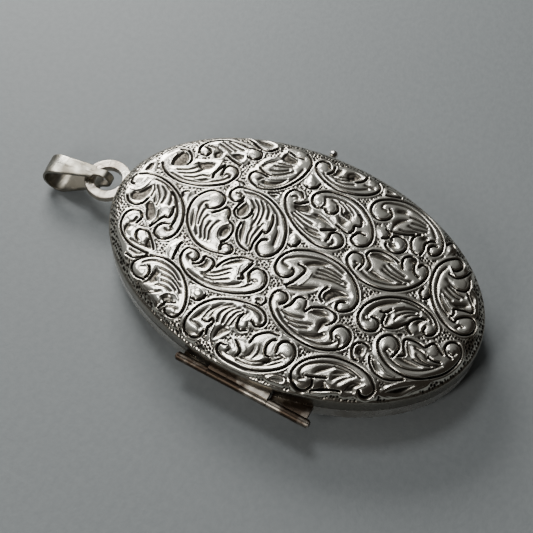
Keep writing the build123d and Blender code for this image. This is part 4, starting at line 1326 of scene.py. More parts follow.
class ReliefSheet:
    """Height of the engraving over a set of places on the flat of the cover.

    Args:
        places: Places to work out, as rows of x and y in millimetres.
    """

    def __init__(self, places: np.ndarray) -> None:
        """Starts the sheet with nothing drawn on it.

        Args:
            places: Places to work out, as rows of x and y in millimetres.
        """
        self.x, self.y = places[:, 0], places[:, 1]
        self.inside = np.full(len(places), -FAR)
        self.hollow = np.full(len(places), -FAR)
        self.groove = np.full(len(places), FAR)
        self.vein = np.full(len(places), FAR)
        self.ridge = np.full(len(places), FAR)
        self.boss = np.zeros(len(places))

    def near(self, curve: np.ndarray) -> np.ndarray:
        """Finds the places within the margin of a curve's box.

        Args:
            curve: Points along the curve.

        Returns:
            Numbers of the places.
        """
        low, high = curve.min(0) - MARGIN, curve.max(0) + MARGIN
        held = (self.x > low[0]) & (self.x < high[0]) & (self.y > low[1]) & (self.y < high[1])
        return np.nonzero(held)[0]

    def distance(self, chosen: np.ndarray, curve: np.ndarray) -> np.ndarray:
        """Distance from each chosen place to a curve.

        Args:
            chosen: Numbers of the places.
            curve: Points along the curve.

        Returns:
            The shortest distance for each place, in millimetres.
        """
        best = np.full(len(chosen), FAR)
        x, y = self.x[chosen], self.y[chosen]
        for start, end in zip(curve[:-1], curve[1:]):
            run = end - start
            length = max(float(run @ run), 1e-9)
            t = np.clip(((x - start[0]) * run[0] + (y - start[1]) * run[1]) / length, 0.0, 1.0)
            gap = np.hypot(x - start[0] - t * run[0], y - start[1] - t * run[1])
            np.minimum(best, gap, out=best)
        return best

    def depth_inside(self, chosen: np.ndarray, curve: np.ndarray) -> np.ndarray:
        """Distance inside a closed curve, less than nothing outside it.

        Args:
            chosen: Numbers of the places.
            curve: Points along the closed curve.

        Returns:
            The distance for each place, in millimetres.
        """
        x, y = self.x[chosen], self.y[chosen]
        crossings = np.zeros(len(chosen), dtype=bool)
        for (x1, y1), (x2, y2) in zip(curve[:-1], curve[1:]):
            if y1 != y2:
                straddles = (y1 > y) != (y2 > y)
                crossings ^= straddles & (x < (x2 - x1) * (y - y1) / (y2 - y1) + x1)
        return np.where(crossings, 1.0, -1.0) * self.distance(chosen, curve)

    def cut_line(self, held: np.ndarray, text: str) -> None:
        """Notes the distance to one drawn line.

        Args:
            held: The layer that keeps the distances.
            text: The line's points.
        """
        curve = drawn_curve(text)
        chosen = self.near(curve)
        np.minimum.at(held, chosen, self.distance(chosen, curve))

    def cut_area(self, held: np.ndarray, text: str) -> None:
        """Notes the depth inside one drawn outline.

        Args:
            held: The layer that keeps the depths.
            text: The outline's points.
        """
        curve = drawn_curve(text, closed=True)
        chosen = self.near(curve)
        np.maximum.at(held, chosen, self.depth_inside(chosen, curve))

    def swell(self, text: str) -> None:
        """Adds one round swelling.

        Args:
            text: Its "x,y,radius".
        """
        x, y, radius = read_points(text)[0]
        share = np.hypot(self.x - x, self.y - y) / radius
        np.maximum(self.boss, np.sqrt(np.clip(1.0 - share**2, 0.0, 1.0)), out=self.boss)

    def draw(self, scroll: Scroll) -> None:
        """Lays one scroll on the sheet.

        Args:
            scroll: The scroll.
        """
        self.cut_area(self.inside, scroll.body)
        layers = (self.groove, self.vein, self.ridge)
        for layer, lines in zip(layers, (scroll.grooves, scroll.veins, scroll.ridges)):
            for text in lines:
                self.cut_line(layer, text)
        for text in scroll.hollows:
            self.cut_area(self.hollow, text)
        for text in scroll.bosses:
            self.swell(text)


@dataclass(frozen=True)
class Graver:
    """Depths and widths of the engraver's cuts, in millimetres.

    Args:
        ground_depth: Depth of the stippled ground below the leaf tops.
        edge_slope: Width of the slope from ground to leaf.
        pillow: Height that a lobe rises between its cuts.
        pillow_reach: Distance over which a lobe rises.
        groove_depth: Depth of the deep lines.
        groove_width: Half width of the deep lines.
        vein_depth: Depth of the fine lines.
        vein_width: Half width of the fine lines.
        hollow_depth: Depth of the scooped places.
        hollow_slope: Width of the slope into a scooped place.
        boss_height: Height of the round swellings.
        ridge_height: Height of the raised lines.
        lip_height: Height of the burr beside the deep lines.
        pit_pitch: Spacing of the stipple.
        pit_radius: Radius of a stipple pit.
        pit_depth: Depth of a stipple pit.
        plain_edge: Width of the plain border at the outline.
        seed: Seed of the stipple's unevenness.
    """

    ground_depth: float = 0.13
    edge_slope: float = 0.22
    pillow: float = 0.09
    pillow_reach: float = 0.38
    groove_depth: float = 0.25
    groove_width: float = 0.13
    vein_depth: float = 0.10
    vein_width: float = 0.115
    hollow_depth: float = 0.26
    hollow_slope: float = 0.32
    boss_height: float = 0.05
    ridge_height: float = 0.07
    lip_height: float = 0.045
    pit_pitch: float = 0.48
    pit_radius: float = 0.15
    pit_depth: float = 0.14
    plain_edge: float = 0.15
    seed: int = 11

    def stipple(self, x: np.ndarray, y: np.ndarray) -> np.ndarray:
        """Depth of the punched pits, as a share of a full pit.

        Args:
            x: Places across the cover.
            y: Places along the cover.

        Returns:
            0 between pits and 1 at the bottom of a pit.
        """
        rng = np.random.default_rng(self.seed)
        size = 160
        jitter = rng.uniform(-0.24, 0.24, (size, size, 2))
        weight = rng.uniform(0.75, 1.15, (size, size))
        row_height = self.pit_pitch * 0.866
        row = np.floor(y / row_height).astype(int)
        best = np.zeros_like(x)
        for row_step in (-1, 0, 1):
            near_row = row + row_step
            shift = 0.5 * (near_row % 2)
            column = np.floor(x / self.pit_pitch - shift).astype(int)
            for column_step in (-1, 0, 1):
                near_column = column + column_step
                i, j = near_column % size, near_row % size
                centre_x = (near_column + shift + 0.5 + jitter[i, j, 0]) * self.pit_pitch
                centre_y = (near_row + 0.5 + jitter[i, j, 1]) * row_height
                gap = np.hypot(x - centre_x, y - centre_y) / (self.pit_radius * weight[i, j])
                np.maximum(best, bell(gap, 0.95), out=best)
        return best

    def relief(self, sheet: ReliefSheet, edge: np.ndarray) -> tuple[np.ndarray, np.ndarray]:
        """Height of the engraving and depth of the dark film on it.

        Args:
            sheet: The laid-out scrolls.
            edge: Distance of each place from the case outline.

        Returns:
            Height in millimetres, never above the plain surface, and film from 0 to 1, with painted shade
            in the scoops and a painted dark reflection along the plain border.
        """
        leaf = ease(sheet.inside, -0.10, self.edge_slope - 0.05)
        ground = 1.0 - leaf
        cuts = np.minimum(np.minimum(sheet.groove, sheet.vein + 0.08), np.abs(sheet.hollow) + 0.05)
        to_cut = np.minimum(np.maximum(sheet.inside, 0.0), cuts)
        lobe = 1.0 - np.exp(-((to_cut / self.pillow_reach) ** 2))
        groove = bell(sheet.groove, self.groove_width)
        vein = bell(sheet.vein, self.vein_width)
        scoop = ease(sheet.hollow, -0.04, self.hollow_slope)
        lip = bell(sheet.groove - 2.0 * self.groove_width, 0.09)
        lip += 0.8 * bell(sheet.inside + 0.05, 0.10)
        ridge = bell(sheet.ridge, 0.10)
        rubbed = 1.0 - 0.7 * ease(-edge, -2.6, -1.2)
        pits = self.stipple(sheet.x, sheet.y) * ease(-sheet.inside, 0.10, 0.30)
        height = -self.ground_depth * ground - self.pillow * leaf * (1.0 - lobe)
        height -= self.groove_depth * groove
        height -= self.vein_depth * vein * (1.0 - 0.6 * groove)
        height -= self.hollow_depth * scoop
        height -= self.pit_depth * pits * ground
        height += self.boss_height * sheet.boss * (1.0 - groove) * (1.0 - vein)
        height += self.ridge_height * ridge + self.lip_height * lip * (1.0 - groove)
        border = ease(edge, self.plain_edge * 0.4, self.plain_edge * 1.6)
        height = np.minimum(height - 0.05, 0.0) * border
        film = 0.12 * ground * rubbed
        # The film in the scoops is partly patina and partly painted shade.
        for layer, share in ((groove, 1.1), (vein, 0.62), (scoop, 0.48), (pits * ground, 1.35)):
            film = np.maximum(film, share * layer)
        film *= 1.0 - 0.75 * np.clip(ridge + 0.6 * lip * (1.0 - groove), 0.0, 1.0)
        # Along the plain border the film is held at 0.30, a painted dark reflection that matches the outer
        # wall.
        return height, np.maximum(np.clip(film, 0.0, 1.0) * border, 0.30 * (1.0 - border))


# ---------------------------------------------------------------- case


@dataclass(frozen=True)
class CaseForm:
    """Outer form of the closed case, in millimetres.

    Args:
        half_width: Half the case's width.
        half_length: Half the case's length.
        base: Height of the front's lower edge.
        crown: Height of the middle of the front.
        rise: How far the front's dome rises above its edge.
        shoulder: Radius of the front's shoulder.
    """

    half_width: float
    half_length: float
    base: float
    crown: float
    rise: float = 0.7
    shoulder: float = 2.3

    @classmethod
    def from_frame(cls) -> "CaseForm":
        """Takes the case's sizes from the frame's front shell."""
        low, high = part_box("front_cover")
        return cls(high.x / MM, high.y / MM, low.z / MM, high.z / MM)

    def share(self, x: np.ndarray, y: np.ndarray) -> np.ndarray:
        """How far out places are, 0 in the middle and 1 on the outline."""
        return np.hypot(x / self.half_width, y / self.half_length)

    def edge(self, x: np.ndarray, y: np.ndarray) -> np.ndarray:
        """Distance of each place inside the outline.

        Args:
            x: Places across the cover.
            y: Places along the cover.

        Returns:
            The distances, never less than nothing.
        """
        out = np.maximum(self.share(x, y), 1e-6)
        slope = np.hypot(x / self.half_width**2, y / self.half_length**2) / out
        return np.maximum((1.0 - out) / np.maximum(slope, 1e-6), 0.0)

    def dome(self, x: np.ndarray, y: np.ndarray) -> np.ndarray:
        """Height of the dome, without its shoulder.

        Args:
            x: Places across the cover.
            y: Places along the cover.

        Returns:
            The heights.
        """
        radius = (self.half_length**2 + self.rise**2) / (2 * self.rise)
        reach = self.half_length * self.share(x, y)
        return self.crown - radius + np.sqrt(radius**2 - reach**2)

    def surface(self, x: np.ndarray, y: np.ndarray) -> np.ndarray:
        """Height of the plain front, with its round shoulder.

        Args:
            x: Places across the cover.
            y: Places along the cover.

        Returns:
            The heights.
        """
        edge = self.edge(x, y)
        out = np.maximum(self.share(x, y), 1e-6)
        inset = np.maximum(self.shoulder - edge, 0.0)
        pull = 1.0 - inset / np.maximum(np.hypot(x, y), 1e-6)
        centre = self.dome(x * pull, y * pull) - self.shoulder * 1.003
        rounded = centre + np.sqrt(np.maximum(self.shoulder**2 - inset**2, 0.0))
        return np.where(edge < self.shoulder, np.minimum(rounded, self.dome(x, y)), self.dome(x, y))

    def ring(self, inset: float, height: float, around: int) -> np.ndarray:
        """A ring of points along the outline.

        Args:
            inset: How far the ring stands in from the outline.
            height: Height of the ring.
            around: Number of points.

        Returns:
            Points, one row each.
        """
        turn = np.linspace(0.0, 2 * np.pi, around, endpoint=False)
        return np.stack(
            [
                (self.half_width - inset) * np.cos(turn),
                (self.half_length - inset) * np.sin(turn),
                np.full(around, height),
            ],
            -1,
        )


@dataclass(frozen=True)
class EngravedFront:
    """Front half of the case: engraved face, plain walls and a smooth lining.

    Args:
        form: Outer form of the case.
        graver: Depths and widths of the engraving.
        across: Mesh cells across the face.
        along: Mesh cells along the face.
        wall: Thickness of the wall.
        face: Thickness of the face.
        edge_round: Radius of the lower outer edge.
        painted_wall_reflection: Painted dark reflection on the outer wall, as film depth from 0 to 1.
        around: Points round the lining.
    """

    form: CaseForm
    graver: Graver = field(default_factory=Graver)
    across: int = 360
    along: int = 530
    wall: float = 0.6
    face: float = 0.85
    edge_round: float = 0.10
    painted_wall_reflection: float = 0.30
    around: int = 192

    def grid(self) -> tuple[np.ndarray, np.ndarray]:
        """Plan places of the mesh points, closer together over the shoulder.

        Returns:
            x and y of every point, as two grids.
        """
        u = np.linspace(-1.0, 1.0, self.across + 1)
        v = np.linspace(-1.0, 1.0, self.along + 1)
        u, v = np.meshgrid(u, v, indexing="ij")
        x, y = u * np.sqrt(1 - v**2 / 2), v * np.sqrt(1 - u**2 / 2)
        out = np.hypot(x, y)
        shoulder_start, shoulder_level = 0.8443, 0.895
        inner = out * shoulder_level / shoulder_start
        swing = np.clip((out - shoulder_start) / (1.0 - shoulder_start), 0.0, 1.0)
        outer = shoulder_level + (1.0 - shoulder_level) * np.sin(np.pi / 2 * swing)
        scale = np.where(out < shoulder_start, inner, outer) / np.maximum(out, 1e-9)
        return x * scale * self.form.half_width, y * scale * self.form.half_length

    def engraved_face(self) -> bpy.types.Object:
        """Builds the engraved face with the outer wall below it.

        Returns:
            The mesh object.
        """
        x, y = self.grid()
        z = self.form.surface(x, y)
        plain = np.stack([x, y, z], -1)
        along_u = np.gradient(plain, axis=0)
        along_v = np.gradient(plain, axis=1)
        normal = np.cross(along_u, along_v)
        normal /= np.maximum(np.linalg.norm(normal, axis=-1, keepdims=True), 1e-12)
        sheet = ReliefSheet(np.stack([x.ravel(), y.ravel()], -1))
        for scroll in SCROLLS:
            sheet.draw(scroll)
        edge = self.form.edge(x, y).ravel()
        height, film = self.graver.relief(sheet, edge)
        points = (plain + normal * height.reshape(z.shape)[..., None]).reshape(-1, 3)
        numbers = np.arange(len(points)).reshape(z.shape)
        corners = [numbers[:-1, :-1], numbers[1:, :-1], numbers[1:, 1:], numbers[:-1, 1:]]
        quads = np.stack(corners, -1).reshape(-1, 4)
        sides = [numbers[:-1, 0], numbers[-1, :-1], numbers[:0:-1, -1], numbers[0, :0:-1]]
        rim = np.concatenate(sides)
        wall_points, wall_faces = self.outer_wall(points[rim], rim, len(points))
        points = np.vstack([points, wall_points])
        # The outer wall gets a fixed film depth, a painted dark reflection that darkens it.
        film = np.concatenate([film, np.full(len(wall_points), self.painted_wall_reflection)])
        faces = np.vstack([quads, wall_faces])
        piece = make_piece("engraved_face", points, faces, "front", ENGRAVED, crease=75.0)
        layer = piece.data.attributes.new(ENGRAVED.film_and_shade_layer, "FLOAT", "POINT")
        layer.data.foreach_set("value", film.astype(np.float32))
        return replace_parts(piece, "front_cover")

    def outer_wall(
        self, rim_points: np.ndarray, rim: np.ndarray, first: int
    ) -> tuple[np.ndarray, np.ndarray]:
        """Plain wall from the shoulder down to a softly rounded lower edge.

        Args:
            rim_points: Points of the face's outer edge, in order.
            rim: Their numbers.
            first: Number of the first new point.

        Returns:
            New points, and faces that join them to the face's edge.
        """
        top = float(rim_points[:, 2].min())
        low, soft = self.form.base, self.edge_round
        levels = [(top - 0.4 * (top - low), 0.0), (low + soft, 0.0)]
        levels += [(low + 0.3 * soft, 0.3 * soft), (low, soft)]
        way = rim_points[:, :2] / np.linalg.norm(rim_points[:, :2], axis=1, keepdims=True)
        rings = []
        for level, inset in levels:
            plan = rim_points[:, :2] - way * inset
            rings.append(np.column_stack([plan, np.full(len(rim), level)]))
        count = len(rim)
        added = first + np.arange(len(levels) * count).reshape(len(levels), count)
        numbers = np.vstack([rim, added])
        upper, lower = numbers[:-1], numbers[1:]
        faces = np.stack(
            [upper, np.roll(upper, -1, axis=1), np.roll(lower, -1, axis=1), lower], -1
        ).reshape(-1, 4)
        return np.vstack(rings), faces[:, ::-1]

    def lining(self) -> bpy.types.Object:
        """Builds the smooth inside of the front, with the flat lower edge.

        Returns:
            The mesh object.
        """
        around = self.around
        base, inside = self.form.base, self.form.crown - self.face
        bend = self.form.shoulder - self.wall
        rings = [self.form.ring(inset, base, around) for inset in (self.edge_round, self.wall)]
        spring = inside - self.form.rise - bend
        for turn in np.linspace(0.0, np.pi / 2, 9):
            inset = self.wall + bend * (1.0 - math.cos(turn))
            rings.append(self.form.ring(inset, spring + bend * math.sin(turn), around))
        flat = self.form.ring(self.wall + bend, 0.0, around)
        for share in (0.85, 0.65, 0.45, 0.25, 0.08):
            ring = flat * share
            ring[:, 2] = inside - self.form.rise * share**2
            rings.append(ring)
        points = np.vstack(rings)
        faces = ring_faces(len(rings), around).tolist()
        middle = len(points)
        points = np.vstack([points, [[0.0, 0.0, inside]]])
        last = (len(rings) - 1) * around
        faces += [[last + i, last + (i + 1) % around, middle] for i in range(around)]
        inward = [face[::-1] for face in faces]
        return make_piece("front_lining", points, inward, "front", FITTING_SILVER)

    def build(self) -> list[bpy.types.Object]:
        """Builds both pieces of the front."""
        return [self.engraved_face(), self.lining()]


# ---------------------------------------------------------------- ring and bail


@dataclass(frozen=True)
class PendantRing:
    """Flat ring on the end of the case, filed by hand and softly hammered.

    Args:
        hammer: Height of the hammer marks in millimetres.
        edge: Radius of the worn edges.
        band: Width of the ring's band.
        marks: Waves that make up the hammer marks.
        around: Points round the ring.
        step: Spacing of the points round the band.
        seed: Seed of the hammer marks.
    """

    hammer: float = 0.013
    edge: float = 0.16
    band: float = 1.45
    marks: int = 26
    around: int = 240
    step: float = 0.09
    seed: int = 5

    def section(self, inner: float, outer: float, half: float) -> np.ndarray:
        """Outline of the band, with rounded corners.

        Args:
            inner: Radius of the hole.
            outer: Outer radius.
            half: Half the thickness.

        Returns:
            Rows of how far out and how high.
        """
        outline = []
        order = ((inner, half, 90), (inner, -half, 180), (outer, -half, 270), (outer, half, 0))
        for radius, level, start in order:
            centre_r = radius + (self.edge if radius == inner else -self.edge)
            centre_z = level - math.copysign(self.edge, level)
            for turn in np.radians(np.linspace(start, start + 90, 5)):
                out, up = self.edge * math.cos(turn), self.edge * math.sin(turn)
                outline.append((centre_r + out, centre_z + up))
        points = np.array(outline)
        runs = []
        for start, end in zip(points, np.roll(points, -1, axis=0)):
            steps = max(1, int(np.linalg.norm(end - start) / self.step))
            runs.append(start + (end - start) * np.linspace(0, 1, steps, endpoint=False)[:, None])
        return np.vstack(runs)

    def build(self) -> bpy.types.Object:
        """Builds the ring from the frame's size and place.

        Returns:
            The ring.
        """
        low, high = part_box("pendant_ring")
        outer = (high.x - low.x) / 2 / MM
        centre = np.array([0.0, high.y / MM - outer, (high.z + low.z) / 2 / MM])
        half = (high.z - low.z) / 2 / MM
        inner = outer - self.band
        section = self.section(inner, outer, half)
        rng = np.random.default_rng(self.seed)
        turn = np.linspace(0.0, FULL_TURN, self.around, endpoint=False)
        flat_x = section[None, :, 0] * np.cos(turn)[:, None]
        flat_y = section[None, :, 0] * np.sin(turn)[:, None]
        waves = np.zeros((self.around, len(section)))
        for _ in range(self.marks):
            way, length, phase = rng.uniform(0, 3.14), rng.uniform(0.32, 1.1), rng.uniform(0, 6.28)
            across = flat_x * math.cos(way) + flat_y * math.sin(way)
            waves += np.sin(6.28 * across / length + 2.0 * section[None, :, 1] + phase) / 9
        shrink = self.hammer * (waves - waves.max())
        middle = (inner + outer) / 2
        radial = middle + (section[None, :, 0] - middle) * (1 + 0.9 * shrink / 0.7)
        level = section[None, :, 1] * (1 + shrink / half * 1.2)
        out_x, out_y = radial * np.cos(turn)[:, None], radial * np.sin(turn)[:, None]
        points = np.stack([out_x, out_y, level], -1).reshape(-1, 3) + centre
        faces = ring_faces(self.around + 1, len(section)) % (self.around * len(section))
        faces = faces[:, ::-1]
        piece = make_piece("hammered_ring", points, faces, "back", RING_SILVER, crease=50.0)
        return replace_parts(piece, "pendant_ring")


@dataclass(frozen=True)
class Bail:
    """Strap loop, wide at the chain end, with a narrow tongue through the ring.

    Args:
        strap: Thickness of the strap.
        tongue_width: Width of the tongue.
        shoulder_width: Width just past the step.
        width: Width at the chain end.
        tongue_radius: Inner radius of the bend round the ring.
        loop_radius: Inner radius of the bend at the chain end.
        tongue_reach: Pivot to the middle of the ring bend.
        loop_reach: Pivot to the middle of the chain bend.
        shoulder_reach: Pivot to the step, on the ring's side.
        edge: Radius of the worn edges.
        yaw: Turn of the bail away from the case's long axis, in degrees.
        dent: Depth of the soft dents.
        ground_gap: Room under the chain end.
        seed: Seed of the dents.
    """

    strap: float = 0.45
    tongue_width: float = 1.2
    shoulder_width: float = 1.9
    width: float = 3.4
    tongue_radius: float = 0.92
    loop_radius: float = 1.95
    tongue_reach: float = 2.3
    loop_reach: float = 5.0
    shoulder_reach: float = 1.3
    edge: float = 0.11
    yaw: float = 10.0
    dent: float = 0.035
    ground_gap: float = 0.02
    seed: int = 9

    def side_path(self) -> np.ndarray:
        """Middle line of the strap seen from the side, with its outward direction.

        Returns:
            Rows of along, up, outward along and outward up.
        """
        small = self.tongue_radius + self.strap / 2
        large = self.loop_radius + self.strap / 2
        span = self.tongue_reach + self.loop_reach
        lean = math.asin((large - small) / span)
        start = math.pi / 2 + lean
        rows = []
        for turn in np.linspace(start, -start, 64):
            rows.append((self.loop_reach + large * math.cos(turn), large * math.sin(turn), turn))
        near_ring = -self.tongue_reach + small * math.cos(start)
        rows += self.straight(rows[-1], (near_ring, -small * math.sin(start), -start))
        for turn in np.linspace(-start, start - 2 * math.pi, 48)[1:]:
            rows.append((-self.tongue_reach + small * math.cos(turn), small * math.sin(turn), turn))
        first = rows[0]
        rows += self.straight(rows[-1], (first[0], first[1], rows[-1][2]))[:-1]
        table = np.array(rows)
        return np.column_stack([table[:, :2], np.cos(table[:, 2]), np.sin(table[:, 2])])

    def straight(self, start: tuple, end: tuple) -> list[tuple]:
        """Even steps from one row of the path to another.

        Args:
            start: The row to start after.
            end: The row to end on.

        Returns:
            The rows.
        """
        steps = 40
        pairs = list(zip(start, end))
        return [tuple(a + (b - a) * i / steps for a, b in pairs) for i in range(1, steps + 1)]

    def half_width(self, along: np.ndarray) -> np.ndarray:
        """Half the strap's width.

        Args:
            along: Places along the bail.

        Returns:
            Half the width at each place.
        """
        taper_length = self.loop_reach + self.shoulder_reach
        share = np.clip((along + self.shoulder_reach) / taper_length, 0.0, 1.0)
        taper = self.shoulder_width + (self.width - self.shoulder_width) * share
        step = ease(along, -self.shoulder_reach - 0.12, -self.shoulder_reach + 0.02)
        return (self.tongue_width + (taper - self.tongue_width) * step) / 2

    def place(self) -> Matrix:
        """Where the bail hangs, worked out from the frame's joint.

        Returns:
            Its place, in millimetres.
        """
        joint = next(joint for joint in frame["joints"] if joint["name"] == "bail_swing")
        pivot = Vector(joint["pos_m"]) / MM
        room = pivot.z - self.loop_radius - self.strap - self.ground_gap
        droop = math.asin(room / self.loop_reach)
        turn = Matrix.Rotation(math.radians(90.0 + self.yaw), 4, "Z")
        return Matrix.Translation(pivot) @ turn @ Matrix.Rotation(droop, 4, "Y")

    def build(self) -> bpy.types.Object:
        """Builds the bail.

        Returns:
            The bail.
        """
        path = self.side_path()
        half = self.half_width(path[:, 0])
        soft, thick = self.edge, self.strap / 2
        corner = np.radians(np.linspace(0, 90, 4))
        across_steps = np.linspace(-1.0, 1.0, 13)
        outline = [(s, thick, 0.0) for s in across_steps]
        flat = thick - soft
        outline += [(1.0, flat + soft * math.cos(c), soft * math.sin(c)) for c in corner[1:]]
        outline += [(1.0, -flat - soft * math.sin(c), soft * math.cos(c)) for c in corner]
        outline += [(s, -thick, 0.0) for s in across_steps[::-1][1:]]
        outline += [(-1.0, -flat - soft * math.cos(c), soft * math.sin(c)) for c in corner[1:]]
        outline += [(-1.0, flat + soft * math.sin(c), soft * math.cos(c)) for c in corner[:-1]]
        section = np.array(outline)
        at_side = np.sign(section[:, 0]) * (np.abs(section[:, 0]) == 1)
        points = []
        phase = np.random.default_rng(self.seed).uniform(0, 6.28, 2)
        for (along, up, out_x, out_z), reach in zip(path, half):
            side = section[:, 0] * (reach - soft) + at_side * section[:, 2]
            wobble = np.sin(along * 1.7 + side * 2.1 + phase[0])
            wobble += np.sin(along * 3.1 - side * 1.3 + phase[1])
            lift = section[:, 1] - self.dent * (1.0 + 0.5 * wobble) * (section[:, 1] > 0)
            points.append(np.column_stack([along + out_x * lift, side, up + out_z * lift]))
        rings = len(points)
        block = np.vstack(points)
        turn = np.array(self.place())
        block = block @ turn[:3, :3].T + turn[:3, 3]
        faces = ring_faces(rings + 1, len(section)) % (rings * len(section))
        piece = make_piece("strap_bail", block, faces, "bail", BAIL_SILVER, crease=50.0)
        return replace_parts(piece, "bail")


# ---------------------------------------------------------------- pieces kept from the frame


@dataclass(frozen=True)
class PictureWindow:
    """Clear window cut from sheet, lying a hair clear of its card and frame.

    Args:
        half: The half of the case it is in, back or front.
        gap: Clearance above and below it in millimetres.
        finish: Its finish.
    """

    half: str
    gap: float = 0.02
    finish: ClearWindow = ClearWindow()

    def build(self) -> bpy.types.Object:
        """Builds the window from the outline that the frame has.

        Returns:
            The window.
        """
        node = f"{self.half}_picture_window"
        outline = frame["nodes"][node].data
        points = np.array([point.co for point in outline.vertices]) / MM
        middle = (points[:, 2].min() + points[:, 2].max()) / 2
        points[:, 2] -= self.gap * np.sign(points[:, 2] - middle)
        faces = [tuple(face.vertices) for face in outline.polygons]
        piece = make_piece(f"{self.half}_window_pane", points, faces, self.half, self.finish)
        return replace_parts(piece, node)


@dataclass(frozen=True)
class FrameSilverware:
    """Pieces whose shape stays as the frame has it, each with its finish.

    Args:
        finishes: Finish of each node by name.
    """

    finishes: dict[str, Finish] = field(
        default_factory=lambda: {
            "back_cover": CASE_SILVER,
            "snap_rim": FITTING_SILVER,
            "back_picture_seat": FITTING_SILVER,
            "back_picture_card": OldPaper(),
            "back_picture_frame": FITTING_SILVER,
            "front_picture_seat": FITTING_SILVER,
            "front_picture_card": OldPaper(),
            "front_picture_frame": FITTING_SILVER,
            "hinge_knuckle_top": HINGE_SILVER,
            "hinge_knuckle_middle": HINGE_SILVER,
            "hinge_knuckle_bottom": HINGE_SILVER,
            "hinge_bearer_top": HINGE_SILVER,
            "hinge_bearer_middle": HINGE_SILVER,
            "hinge_bearer_bottom": HINGE_SILVER,
            "hinge_pin": PIN_METAL,
            "catch_button": BALL_SILVER,
            "catch_spring": SPRING_METAL,
            "catch_nose": SPRING_METAL,
            "catch_spring_block": FITTING_SILVER,
            "catch_rivet": FITTING_SILVER,
            "catch_keeper": FITTING_SILVER,
        }
    )

    def build(self) -> None:
        """Dresses every node of the frame that is still shown."""
        for node, finish in self.finishes.items():
            dress(frame["nodes"][node], finish)
            LOG.info("%s dressed as %s", node, finish.name)


# ---------------------------------------------------------------- studio


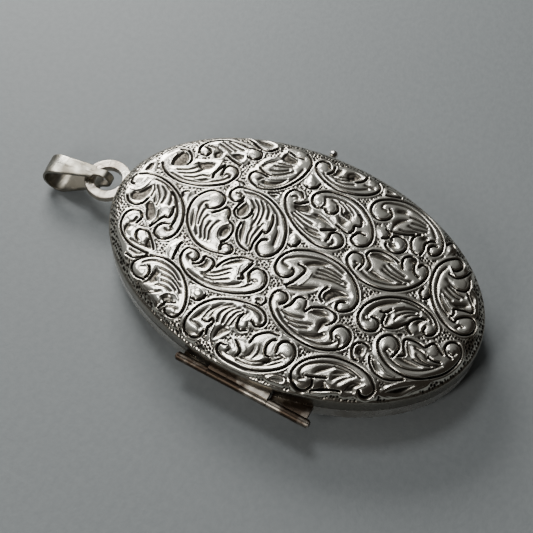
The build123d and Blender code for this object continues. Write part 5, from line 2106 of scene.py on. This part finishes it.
@dataclass(frozen=True)
class Studio:
    """Table top, soft lights and the camera.

    Args:
        target: Point the camera looks at, in millimetres.
        azimuth: Direction of the camera round the locket, in degrees.
        elevation: Height of the camera, in degrees.
        roll: Tilt of the camera about its line of sight, in degrees.
        distance: Camera to target, in millimetres.
        lens: Focal length on a 36 mm wide sensor.
        room_strength: Strength of the room's own light.
        bright_side: Direction of the brighter side of the room.
        dark_until: Share of the way to the bright side where the room stays dark.
        dark: Colour of the room's dark side.
        light: Colour of its bright side.
        table_gap: How far the table top lies below the case.
    """

    target: tuple[float, float, float] = (-0.6, 3.72, 3.0)
    azimuth: float = -62.77
    elevation: float = 59.38
    roll: float = 2.55
    distance: float = 149.52
    lens: float = 72.07
    room_strength: float = 0.46
    bright_side: tuple[float, float, float] = (0.36, 0.72, 0.59)
    dark_until: float = 0.44
    dark: Colour = (0.055, 0.048, 0.041)
    light: Colour = (0.80, 0.84, 0.86)
    table_gap: float = 0.02

    def camera_axes(self) -> tuple[Vector, Vector, Vector]:
        """Works out how the camera is turned.

        Returns:
            Its right, up and back directions.
        """
        turn, lift, tilt = (math.radians(a) for a in (self.azimuth, self.elevation, self.roll))
        back = Vector(
            (math.sin(turn) * math.cos(lift), -math.cos(turn) * math.cos(lift), math.sin(lift))
        )
        right = (-back).cross(Vector((0, 0, 1))).normalized()
        up = right.cross(-back)
        rolled_right = math.cos(tilt) * right + math.sin(tilt) * up
        rolled_up = -math.sin(tilt) * right + math.cos(tilt) * up
        return rolled_right, rolled_up, back

    def camera(self) -> None:
        """Places the camera."""
        right, up, back = self.camera_axes()
        data = bpy.data.cameras.new("camera")
        data.sensor_width = 36.0
        data.lens = self.lens
        data.clip_start = 0.005
        camera = bpy.data.objects.new("camera", data)
        place = Matrix((right, up, back)).transposed().to_4x4()
        place.translation = (Vector(self.target) + back * self.distance) * MM
        camera.matrix_world = place
        bpy.context.scene.collection.objects.link(camera)
        bpy.context.scene.camera = camera

    def table(self) -> None:
        """Makes the table top under the locket."""
        half = 900.0 * MM
        mesh = bpy.data.meshes.new("table_top")
        low = -self.table_gap * MM
        plan = ((-half, -half), (half, -half), (half, half), (-half, half))
        corners = [(x, y, low) for x, y in plan]
        mesh.from_pydata(corners, [], [(0, 1, 2, 3)])
        table = bpy.data.objects.new("table_top", mesh)
        mesh.materials.append(TableTop().material())
        bpy.context.scene.collection.objects.link(table)

    def softbox(self, name: str, place: tuple, size: tuple, power: float, tone: Colour) -> None:
        """Makes one soft light that faces the locket.

        Args:
            name: Name of the light.
            place: Where it stands, in millimetres.
            size: Width and height in millimetres.
            power: Strength in watts.
            tone: Colour of the light.
        """
        data = bpy.data.lights.new(name, "AREA")
        data.shape = "RECTANGLE"
        data.size, data.size_y = size[0] * MM, size[1] * MM
        data.energy = power
        data.color = tone
        light = bpy.data.objects.new(name, data)
        light.location = Vector(place) * MM
        light.rotation_euler = (-light.location).to_track_quat("-Z", "Y").to_euler()
        bpy.context.scene.collection.objects.link(light)

    def surroundings(self) -> None:
        """Sets the even light of the room."""
        world = bpy.data.worlds.new("room")
        world.use_nodes = True
        nodes, links = world.node_tree.nodes, world.node_tree.links
        background = nodes["Background"]
        background.inputs["Strength"].default_value = self.room_strength
        toward = nodes.new("ShaderNodeVectorMath")
        toward.operation = "DOT_PRODUCT"
        toward.inputs[1].default_value = self.bright_side
        links.new(nodes.new("ShaderNodeTexCoord").outputs["Generated"], toward.inputs[0])
        share = nodes.new("ShaderNodeMapRange")
        share.interpolation_type = "SMOOTHSTEP"
        share.inputs["From Min"].default_value = self.dark_until
        share.inputs["From Max"].default_value = 1.0
        links.new(toward.outputs["Value"], share.inputs["Value"])
        tone = nodes.new("ShaderNodeMix")
        tone.data_type = "RGBA"
        tone.inputs[6].default_value = (*self.dark, 1.0)
        tone.inputs[7].default_value = (*self.light, 1.0)
        links.new(share.outputs["Result"], tone.inputs[0])
        links.new(tone.outputs[2], background.inputs["Color"])
        bpy.context.scene.world = world

    def build(self) -> None:
        """Builds the table, lights and camera."""
        self.table()
        self.surroundings()
        self.softbox("window_light", (115, 140, 115), (110, 70), 0.43, (1.0, 0.985, 0.96))
        self.softbox("overhead_light", (100, 130, 330), (90, 90), 0.32, (0.98, 0.99, 1.0))
        self.softbox("side_light", (-190, 40, 150), (50, 90), 0.20, (1.0, 0.98, 0.95))
        self.camera()


def main() -> None:
    """Builds the locket piece by piece, then the studio."""
    logging.basicConfig(level=logging.INFO, format="%(name)s: %(message)s")
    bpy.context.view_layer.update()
    form = CaseForm.from_frame()
    EngravedFront(form).build()
    PendantRing().build()
    Bail().build()
    for half in ("back", "front"):
        PictureWindow(half).build()
    FrameSilverware().build()
    Studio().build()


if __name__ == "__main__":
    main()
